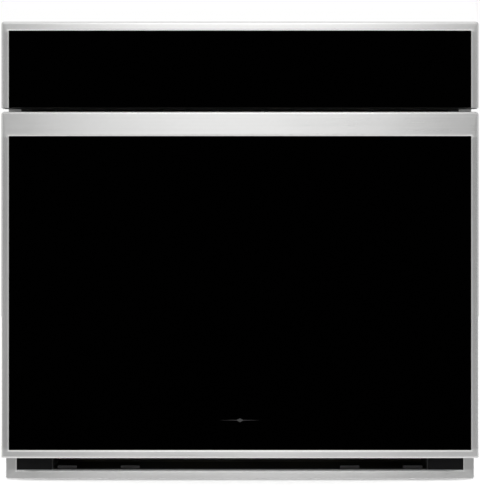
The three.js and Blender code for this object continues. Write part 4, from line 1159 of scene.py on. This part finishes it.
HEX_HEAD = [
    ("round", 5.0, 0.0), ("round", 5.0, 0.6), ("round", 4.7, 0.95), ("round", 4.2, 1.05), ("hex", 3.9, 1.1),
    ("hex", 3.9, 3.6), ("hex", 3.6, 3.95), ("round", 2.6, 3.95), ("round", 2.3, 3.6), ("round", 0.8, 3.55),
]
PAN_HEAD = [
    ("round", 3.6, 0.0), ("round", 3.75, 0.5), ("round", 3.6, 1.1), ("round", 3.0, 1.75), ("round", 2.3, 2.1),
    ("star", 1.9, 2.15), ("star", 1.7, 1.1), ("round", 0.6, 1.05),
]
SMALL_HEAD = [
    ("round", 2.8, 0.0), ("round", 2.9, 0.4), ("round", 2.7, 0.9), ("round", 2.1, 1.35), ("round", 1.6, 1.5),
    ("star", 1.3, 1.5), ("star", 1.15, 0.7), ("round", 0.4, 0.65),
]
RIVET = [
    ("round", 2.2, 0.0), ("round", 2.25, 0.3), ("round", 1.9, 0.8), ("round", 1.1, 1.15), ("round", 0.4, 1.2),
]
WOOD_SCREW_HEAD = [
    ("round", 4.4, 0.0), ("round", 4.5, 0.4), ("round", 4.2, 1.0), ("round", 3.4, 1.6), ("round", 2.5, 1.9),
    ("star", 2.0, 1.9), ("star", 1.8, 0.9), ("round", 0.6, 0.85),
]


HEAD_SIDES = 24
HEAD_TURN = 0.7  # each head is turned by this much more than the one before it


def screw_heads(name, places, outward, head, body):
    """Screw heads that stand on a face; outward is the way they point."""
    working = bmesh.new()
    turn = Vector(outward).to_track_quat("Z", "Y")
    for index, place in enumerate(places):
        twist = HEAD_TURN * index
        rings = []
        for kind, size, height in head:
            ring = []
            for i in range(HEAD_SIDES):
                angle = 2 * math.pi * i / HEAD_SIDES
                radius = ring_radius(kind, size, angle) * MM
                turned = angle + twist
                local = Vector((radius * math.cos(turned), radius * math.sin(turned), height * MM))
                ring.append(working.verts.new(Vector(place) + turn @ local))
            rings.append(ring)
        tube(working, rings)
    finished(name, mesh_of(name, working), [SCREW_STEEL], body)


def four_corners(rect, across, up, face):
    """A point in from each corner of an upright rectangle."""
    x0, x1, z0, z1 = rect
    return [(x, face, z) for x in (x0 + across, x1 - across) for z in (z0 + up, z1 - up)]


def case_screws():
    """Self-tapping screws along the edges of the case's sheets."""
    low, high = box("rear_panel")
    edge = 9 * MM
    rear = []
    for z in evenly(low.z + 22 * MM, high.z - 16 * MM, 5):
        rear += [(low.x + edge, high.y, z), (high.x - edge, high.y, z)]
    for x in evenly(low.x + 90 * MM, high.x - 90 * MM, 4):
        rear += [(x, high.y, low.z + 12 * MM), (x, high.y, high.z - 12 * MM)]
    screw_heads("rear_screws", rear, (0, 1, 0), HEX_HEAD, "chassis")
    low, high = box("top_panel")
    top = []
    for x in evenly(low.x + 26 * MM, high.x - 26 * MM, 4):
        top += [(x, high.y - edge, high.z), (x, low.y + 16 * MM, high.z)]
    for y in evenly(low.y + 130 * MM, high.y - 130 * MM, 3):
        top += [(low.x + edge, y, high.z), (high.x - edge, y, high.z)]
    screw_heads("top_screws", top, (0, 0, 1), HEX_HEAD, "chassis")
    for side, sign in SIDES:
        low, high = box(f"side_panel_{side}")
        face = high.x if sign > 0 else low.x
        places = []
        for z in evenly(low.z + 12 * MM, high.z - 12 * MM, 5):
            places += [(face, low.y + 42 * MM, z), (face, high.y - edge, z)]
        for y in evenly(low.y + 150 * MM, high.y - 130 * MM, 3):
            places.append((face, y, low.z + 12 * MM))
            places.append((face, y, high.z - 12 * MM))
        screw_heads(f"side_screws_{side}", places, (sign, 0, 0), HEX_HEAD, "chassis")


LOUVRE = {
    "length": 44 * MM,
    "slot": 5 * MM,
    "lap": 3 * MM,  # past each end of the slot
    "over": 3.5 * MM,  # above it
    "proud": 4.2 * MM,
    "sheet": 0.8 * MM,
    "pitch": 60 * MM,
    "row": 16 * MM,
}


def louvre_hood(working, x, z, face):
    """A pressed hood over one slot, open below."""
    across, around = 12, 6
    length, over = LOUVRE["length"] + 2 * LOUVRE["lap"], LOUVRE["slot"] + LOUVRE["over"]
    rows = []
    for j in range(around + 1):
        angle = math.pi / 2 * j / around
        row = []
        for i in range(across + 1):
            u = 2 * i / across - 1
            full = (1 - abs(u) ** 5) ** 0.5 if abs(u) < 1 else 0.0
            y = face + 0.1 * MM + LOUVRE["proud"] * full * math.sin(angle)
            height = z + over - over * (1 - math.cos(angle)) * (0.35 + 0.65 * full)
            row.append(working.verts.new((x - LOUVRE["lap"] + length * i / across, y, height)))
        rows.append(row)
    for first, second in zip(rows, rows[1:]):
        bridge(working, first, second, False)


def louvre_hoods():
    """Hoods over the rear panel's vent slots."""
    face = box("rear_panel")[1].y
    top = box("top_panel")[1].z
    # each field's columns and rows, and the place of its first slot
    lower = (8, 3, -236 * MM, 60 * MM)
    upper = (6, 2, -280 * MM, top - 70 * MM)
    working = bmesh.new()
    for across, up, first_x, first_z in (lower, upper):
        for i in range(across):
            for row in range(up):
                louvre_hood(working, first_x + i * LOUVRE["pitch"], first_z + row * LOUVRE["row"], face)
    mesh = mesh_of("louvre_hoods", working)
    made = finished("louvre_hoods", mesh, [ZINC], "chassis", math.radians(50))
    thick = made.modifiers.new("sheet", "SOLIDIFY")
    thick.thickness = LOUVRE["sheet"]
    thick.offset = 0.0


def door_screws():
    """Screws that hold the door's inner liner."""
    low, high = box("door_inner_liner")
    back = high.y - 6 * MM  # the liner's rim, behind which its middle stands out
    places = []
    for z in evenly(low.z + 90 * MM, high.z - 12 * MM, 4):
        places += [(low.x + 22 * MM, back, z), (high.x - 22 * MM, back, z)]
    for x in evenly(low.x + 150 * MM, high.x - 150 * MM, 4):
        places.append((x, back, high.z - 12 * MM))
    screw_heads("door_screws", places, (0, 1, 0), PAN_HEAD, "door")


FLANGE_HOLES = (0.1, 0.48, 0.86)  # as shares of the way up to the panel


def flange_screws():
    """Wood screws in the flanges' holes."""
    for side, sign in SIDES:
        low, high = box(f"mounting_flange_{side}")
        panel_low = box("panel_bezel")[0].z
        x = (high.x - 5 * MM) if sign > 0 else (low.x + 5 * MM)
        places = [(x, low.y, low.z + (panel_low - low.z) * share) for share in FLANGE_HOLES]
        screw_heads(f"cabinet_screws_{side}", places, (0, -1, 0), WOOD_SCREW_HEAD, "chassis")


def fan_cover_screws():
    """Four screws at the fan cover's corners."""
    low, high = box("fan_cover")
    inset = 16 * MM
    places = four_corners((low.x, high.x, low.z, high.z), inset, inset, low.y)
    screw_heads("fan_cover_screws", places, (0, -1, 0), PAN_HEAD, "chassis")


def ring_plate(name, rect, outer, inner, depth, radius=3 * MM):
    """A flat ring with broken edges; outer and inner are its edges' insets from the rectangle."""
    y0, y1 = depth
    broken = min(0.2 * MM, abs(y1 - y0) / 4)
    working = bmesh.new()

    def row(y, inset):
        points = frame_outline(rect, (inset,) * 4, (radius,) * 2, (), CORNER_STEPS)
        return [Vector((x, y, z)) for x, z in points]

    around = [(y1, outer + broken), (y1 - broken, outer), (y0 + broken, outer), (y0, outer + broken)]
    around += [(y0, inner - broken), (y0 + broken, inner), (y1 - broken, inner), (y1, inner - broken)]
    rows = [row(y, inset) for y, inset in around]
    sweep_rows(working, rows, True)
    finished(name, mesh_of(name, working), [BLACK_SHEET_AND_PAINTED_SHADE], "door")


def window_parts():
    """Inside the door: the tunnel round the panes, the ledge of the middle one and the window's trim."""
    low, high = box("door_middle_glass")
    rect = (low.x, high.x, low.z, high.z)
    front = box("door_outer_glass")[1].y + 0.6 * MM
    back = box("door_inner_glass")[0].y - 0.5 * MM
    ring_plate("window_tunnel", rect, -1.4 * MM, -0.6 * MM, (front, back))
    ledge = (low.y - 1.2 * MM, low.y - 0.4 * MM)
    ring_plate("window_ledge", rect, -0.3 * MM, 7 * MM, ledge)
    face = box("door_inner_liner")[1].y
    lap = 14 * MM  # how far the panes reach past the opening
    border = (face + 0.1 * MM, face + 1.3 * MM)
    ring_plate("window_trim", rect, lap - 13 * MM, lap + 1.5 * MM, border, 6 * MM)
    middle = lap - 6 * MM
    places = []
    for x in evenly(low.x + middle + 12 * MM, high.x - middle - 12 * MM, 4):
        places += [(x, border[1], low.z + middle), (x, border[1], high.z - middle)]
    for x in (low.x + middle, high.x - middle):
        places.append((x, border[1], (low.z + high.z) / 2))
    screw_heads("window_screws", places, (0, 1, 0), PAN_HEAD, "door")


def slot_shade_plates():
    """Black plates that close the vent slot's ends beside the duct, notched for the hinge arms; they are
    painted shade, near-black sheets that stand in for the shade in the slot's ends.
    """
    duct_high = box("lower_vent_duct")[1]
    trim_high = box("lower_vent_trim")[1]
    arm_low, arm_high = box("hinge_arm_right")
    y0, y1 = trim_high.y + 0.2 * MM, trim_high.y + 1.0 * MM
    bottom, top = box("base_pan")[0].z + 1.5 * MM, trim_high.z - 1 * MM
    inner, outer = duct_high.x + 0.6 * MM, box("mounting_flange_right")[0].x + 7 * MM
    notch = (arm_low.x - 2.5 * MM, arm_high.x + 2.5 * MM)
    sill = arm_low.z - 4 * MM
    for side, sign in SIDES:
        outline = [(inner, bottom), (outer, bottom), (outer, top), (notch[1], top), (notch[1], sill)]
        outline += [(notch[0], sill), (notch[0], top), (inner, top)]
        working = bmesh.new()
        front = [working.verts.new((sign * x, y0, z)) for x, z in outline]
        rear = [working.verts.new((sign * x, y1, z)) for x, z in outline]
        prism(working, front, rear)
        name = f"painted_shade_plate_{side}"
        # the plates' near-black finish is painted shade for the slot's dark ends
        finished(name, mesh_of(name, working), [BLACK_SHEET_AND_PAINTED_SHADE], "chassis")


SADDLE = {
    "inner": 3.3 * MM,
    "outer": 4.4 * MM,
    "foot": 7 * MM,
    "sheet": 1.0 * MM,
    "width": 11 * MM,
    "wall": 5 * MM,  # from the post's centre to the cavity's wall
    "gap": 0.1 * MM,
    "steps": 10,
}


def half_round(centre, radius, way):
    """A half circle round a post, on the side away from the wall; way is 1 towards +Y and -1 towards -Y."""
    points = []
    for i in range(SADDLE["steps"] + 1):
        angle = way * (-math.pi / 2 + math.pi * i / SADDLE["steps"])
        points.append((centre - radius * math.cos(angle), radius * math.sin(angle)))
    return points


def saddle_outline(centre):
    """One strap seen from above: over the post, and a flat foot on each side of it."""
    inner, outer = SADDLE["inner"], SADDLE["outer"]
    wall = centre + SADDLE["wall"]
    back, top = wall - SADDLE["gap"], wall - SADDLE["sheet"]
    foot = outer + SADDLE["foot"]
    outline = half_round(centre, outer, 1)
    outline += [(top, outer), (top, foot), (back, foot), (back, inner)]
    outline += half_round(centre, inner, -1)
    return outline + [(back, -inner), (back, -foot), (top, -foot), (top, -outer)]


def guide_saddles():
    """Straps that hold the side guides' posts to the cavity's walls."""
    for side, sign in SIDES:
        low, high = box(f"rack_guide_{side}")
        centre = (high.x if sign > 0 else -low.x) - WIRE["guide"]
        outline = saddle_outline(centre)
        top = centre + SADDLE["wall"] - SADDLE["sheet"]
        reach = SADDLE["outer"] + SADDLE["foot"] - 3.5 * MM
        working = bmesh.new()
        screws = []
        for y in (low.y + GUIDE["post"], high.y - GUIDE["post"]):
            for z in (low.z + 32 * MM, (low.z + high.z) / 2 + 26 * MM, high.z - 26 * MM):
                ends = []
                for end in (-0.5, 0.5):
                    level = z + end * SADDLE["width"]
                    placed = [(sign * x, y + across, level) for x, across in outline]
                    ends.append([working.verts.new(point) for point in placed])
                prism(working, *ends)
                screws += [(sign * top, y + way * reach, z) for way in (-1, 1)]
        name = f"guide_saddles_{side}"
        finished(name, mesh_of(name, working), [CHROME], "chassis")
        screw_heads(f"saddle_screws_{side}", screws, (-sign, 0, 0), SMALL_HEAD, "chassis")


CLIP = {"wire": 1.2 * MM, "clear": 1.6 * MM, "steps": 40}


def lamp_rings():
    """Wire clips that hold the lamps' lenses to the cavity's walls."""
    for side, sign in SIDES:
        low, high = box(f"lamp_lens_{side}")
        centre_y, centre_z = (low.y + high.y) / 2, (low.z + high.z) / 2
        radius = (high.z - low.z) / 2 + CLIP["clear"]
        wall = high.x if sign > 0 else low.x
        x = wall - sign * CLIP["clear"]
        ring = []
        for i in range(CLIP["steps"]):
            angle = 2 * math.pi * i / CLIP["steps"]
            ring.append((x, centre_y + radius * math.cos(angle), centre_z + radius * math.sin(angle)))
        wires(f"lamp_clip_{side}", [(ring, True)], CLIP["wire"], CHROME, "chassis")


def rear_plate(name, rect, face, profile, material):
    """A plate on the rear of the case; profile gives each row's inset, height and corner."""
    working = bmesh.new()
    rows = []
    for inset, up, rounding in profile:
        points = frame_outline(rect, (inset,) * 4, (rounding, rounding), (), CORNER_STEPS)
        rows.append([working.verts.new((x, face + up, z)) for x, z in points])
    tube(working, rows)
    finished(name, mesh_of(name, working), [material], "chassis")


COVER = {"width": 118 * MM, "height": 9 * MM, "rim": 9 * MM, "wall": 3 * MM, "sheet": 0.9 * MM}


def junction_cover():
    """The pressed cover over the supply terminals, with a flat rim, beside the cable gland."""
    face = box("rear_panel")[1].y
    gland_low, gland_high = box("conduit_gland")
    right = gland_low.x - 14 * MM
    rect = (right - COVER["width"], right, gland_low.z - 46 * MM, gland_high.z + 10 * MM)
    rim, wall, sheet, height = COVER["rim"], COVER["wall"], COVER["sheet"], COVER["height"]
    steps = [(0.0, 0.1 * MM), (0.0, sheet), (rim, sheet), (rim + 0.8 * MM, sheet + 0.5 * MM)]
    steps += [(rim + wall - 1 * MM, height - 1.5 * MM), (rim + wall, height - 0.5 * MM)]
    steps += [(rim + wall + 1.5 * MM, height)]
    profile = [(inset, up, max(7 * MM - inset * 0.4, 1 * MM)) for inset, up in steps]
    rear_plate("junction_cover", rect, face, profile, ZINC)
    places = four_corners(rect, 4.6 * MM, 12 * MM, face + sheet)
    screw_heads("junction_screws", places, (0, 1, 0), SMALL_HEAD, "chassis")


PLATE = {"rect": (-300 * MM, -212 * MM, 470 * MM, 522 * MM), "sheet": 0.7 * MM, "corner": 3 * MM}


def data_plate():
    """A small blank plate riveted to the rear."""
    face = box("rear_panel")[1].y + 0.1 * MM
    sheet, rounding = PLATE["sheet"], PLATE["corner"]
    profile = [(0.0, 0.0, rounding), (0.0, sheet - 0.2 * MM, rounding), (0.3 * MM, sheet, rounding)]
    rear_plate("data_plate", PLATE["rect"], face, profile, STEEL_LONG)
    places = four_corners(PLATE["rect"], 5 * MM, 5 * MM, face + sheet)
    screw_heads("plate_rivets", places, (0, 1, 0), RIVET, "chassis")


def glass_ornament():
    """A fine printed ornament low on the door's glass: a line with a small diamond on it."""
    centre = box("door_frame")[0].z + 60 * MM
    face = box("door_outer_glass")[0].y - 0.05 * MM
    working = bmesh.new()
    reach, diamond, half_line = 34, (5, 3.2), 0.35
    upper = [(-reach, 0), (-diamond[0], half_line), (0, diamond[1]), (diamond[0], half_line)]
    outline = upper + [(-x, -z) for x, z in upper]
    front = [working.verts.new((x * MM, face - 0.03 * MM, centre + z * MM)) for x, z in outline]
    rear = [working.verts.new((x * MM, face, centre + z * MM)) for x, z in outline]
    prism(working, front, rear)
    finished("glass_ornament", mesh_of("glass_ornament", working), [INK], "door")


# ------------------------------------------------------------------ build

door_skin()
panel_skin()
trim_plate()
finish_nodes()
for rack in ("rack_lower", "rack_middle", "rack_upper"):
    rack_wires(rack)
for guide_side in ("left", "right"):
    guide_wires(guide_side)
broil_rod()
spring_coils()
seal_rope()
slot_shade_plates()
window_parts()
guide_saddles()
lamp_rings()
junction_cover()
data_plate()
case_screws()
louvre_hoods()
door_screws()
flange_screws()
fan_cover_screws()
glass_ornament()


# ------------------------------------------------------------------ studio


def staged(name, mesh, material):
    """An object of the studio, which isn't part of the oven."""
    mesh.materials.append(material)
    made = bpy.data.objects.new(name, mesh)
    bpy.context.collection.objects.link(made)
    return made


FLOOR_REACH = 12.0
SHELF = {"inset": 12 * MM, "clear": 0.2 * MM}


def studio_floor():
    """A wide pale floor just under the lowest edge."""
    material, tree, shader = new_material("studio_floor", {"Roughness": 0.9}, (0.9, 0.9, 0.9))
    grain = noise(tree, object_place(tree), 3.0, 2.0)
    link(tree, blend_colours(tree, grain, (0.89, 0.89, 0.89), (0.91, 0.91, 0.91)), shader["Base Color"])
    level = box("lower_vent_trim")[0].z - FLOOR_DROP
    corners = ((-1, -1), (1, -1), (1, 1), (-1, 1))
    mesh = bpy.data.meshes.new("studio_floor")
    mesh.from_pydata([(x * FLOOR_REACH, y * FLOOR_REACH, level) for x, y in corners], [], [(0, 1, 2, 3)])
    floor = staged("studio_floor", mesh, material)
    floor.visible_glossy = False


def cabinet_shelf():
    """The shelf that the oven's base stands on, set back behind the lower trim."""
    material, tree, shader = new_material("shelf", {"Roughness": 0.8}, (0.88, 0.88, 0.87))
    grain = noise(tree, object_place(tree), 8.0, 3.0)
    link(tree, blend_colours(tree, grain, (0.87, 0.87, 0.86), (0.89, 0.89, 0.88)), shader["Base Color"])
    low, high = box("base_pan")
    floor = box("lower_vent_trim")[0].z - FLOOR_DROP
    inset, clear = SHELF["inset"], SHELF["clear"]
    size = Vector((high.x - low.x - 2 * inset, high.y - low.y - 2 * inset, -floor - clear))
    centre = Vector((0.0, (low.y + high.y) / 2, (floor - clear) / 2))
    working = bmesh.new()
    bmesh.ops.create_cube(working, size=1.0)
    bmesh.ops.scale(working, vec=size, verts=working.verts)
    bmesh.ops.translate(working, vec=centre, verts=working.verts)
    staged("shelf", mesh_of("shelf", working), material)


def softbox(name):
    """A soft rectangular lamp, high in front, that looks at the oven."""
    lamp = bpy.data.lights.new(name, "AREA")
    lamp.shape = "RECTANGLE"
    lamp.size, lamp.size_y = SOFTBOX["width"], SOFTBOX["height"]
    lamp.energy = SOFTBOX["power"]
    made = bpy.data.objects.new(name, lamp)
    bpy.context.collection.objects.link(made)
    made.location = SOFTBOX["place"]
    sight = Vector(SOFTBOX["aim"]) - Vector(SOFTBOX["place"])
    made.rotation_euler = sight.to_track_quat("-Z", "Y").to_euler()


def studio_world():
    """White all round, with a dark band straight ahead for the mirror-like glass."""
    world = bpy.data.worlds.new("studio")
    bpy.context.scene.world = world
    world.use_nodes = True
    tree = world.node_tree
    tree.nodes.clear()
    out = tree.nodes.new("ShaderNodeOutputWorld")
    path = tree.nodes.new("ShaderNodeLightPath")
    place = tree.nodes.new("ShaderNodeTexCoord").outputs["Generated"]
    split = tree.nodes.new("ShaderNodeSeparateXYZ")
    link(tree, place, split.inputs["Vector"])
    dark_spot = {"From Min": -0.985, "From Max": -0.95}
    ahead = add(tree, "ShaderNodeMapRange", dark_spot, interpolation_type="SMOOTHSTEP")
    link(tree, split.outputs["Y"], ahead.inputs["Value"])
    ceiling = {"From Min": 0.6, "From Max": 0.95}
    overhead = add(tree, "ShaderNodeMapRange", ceiling, interpolation_type="SMOOTHSTEP")
    link(tree, split.outputs["Z"], overhead.inputs["Value"])
    ground = {"From Min": -0.7, "From Max": -0.2, "To Min": 1.0, "To Max": 0.0}
    below = add(tree, "ShaderNodeMapRange", ground)
    link(tree, split.outputs["Z"], below.inputs["Value"])
    bright = math_node(tree, "MAXIMUM", overhead.outputs["Result"], below.outputs["Result"])
    walls = blend_colours(tree, bright, (WALL_GLOW,) * 3, (CEILING_GLOW,) * 3)
    glossy = blend_colours(tree, ahead.outputs["Result"], (0.0, 0.0, 0.0), walls)
    soft = blend_colours(tree, path.outputs["Is Glossy Ray"], (SOFT_GLOW,) * 3, glossy)
    seen = blend_colours(tree, path.outputs["Is Camera Ray"], soft, (PAPER_WHITE,) * 3)
    background = tree.nodes.new("ShaderNodeBackground")
    link(tree, seen, background.inputs["Color"])
    link(tree, background.outputs["Background"], out.inputs["Surface"])


def studio_camera():
    """Square on to the front, from far enough away to keep the sides out of sight."""
    front = box("door_frame")[0].y
    camera = bpy.data.cameras.new("front")
    camera.sensor_width = SENSOR
    camera.lens = SENSOR * CAMERA_DISTANCE / VIEW_HEIGHT
    made = bpy.data.objects.new("front", camera)
    bpy.context.collection.objects.link(made)
    made.location = (0.0, front - CAMERA_DISTANCE, EYE_Z)
    made.rotation_euler = (math.radians(90), 0.0, 0.0)
    bpy.context.scene.camera = made


studio_floor()
cabinet_shelf()
softbox("front_softbox")
studio_world()
studio_camera()
bpy.context.scene.view_settings.view_transform = "Standard"
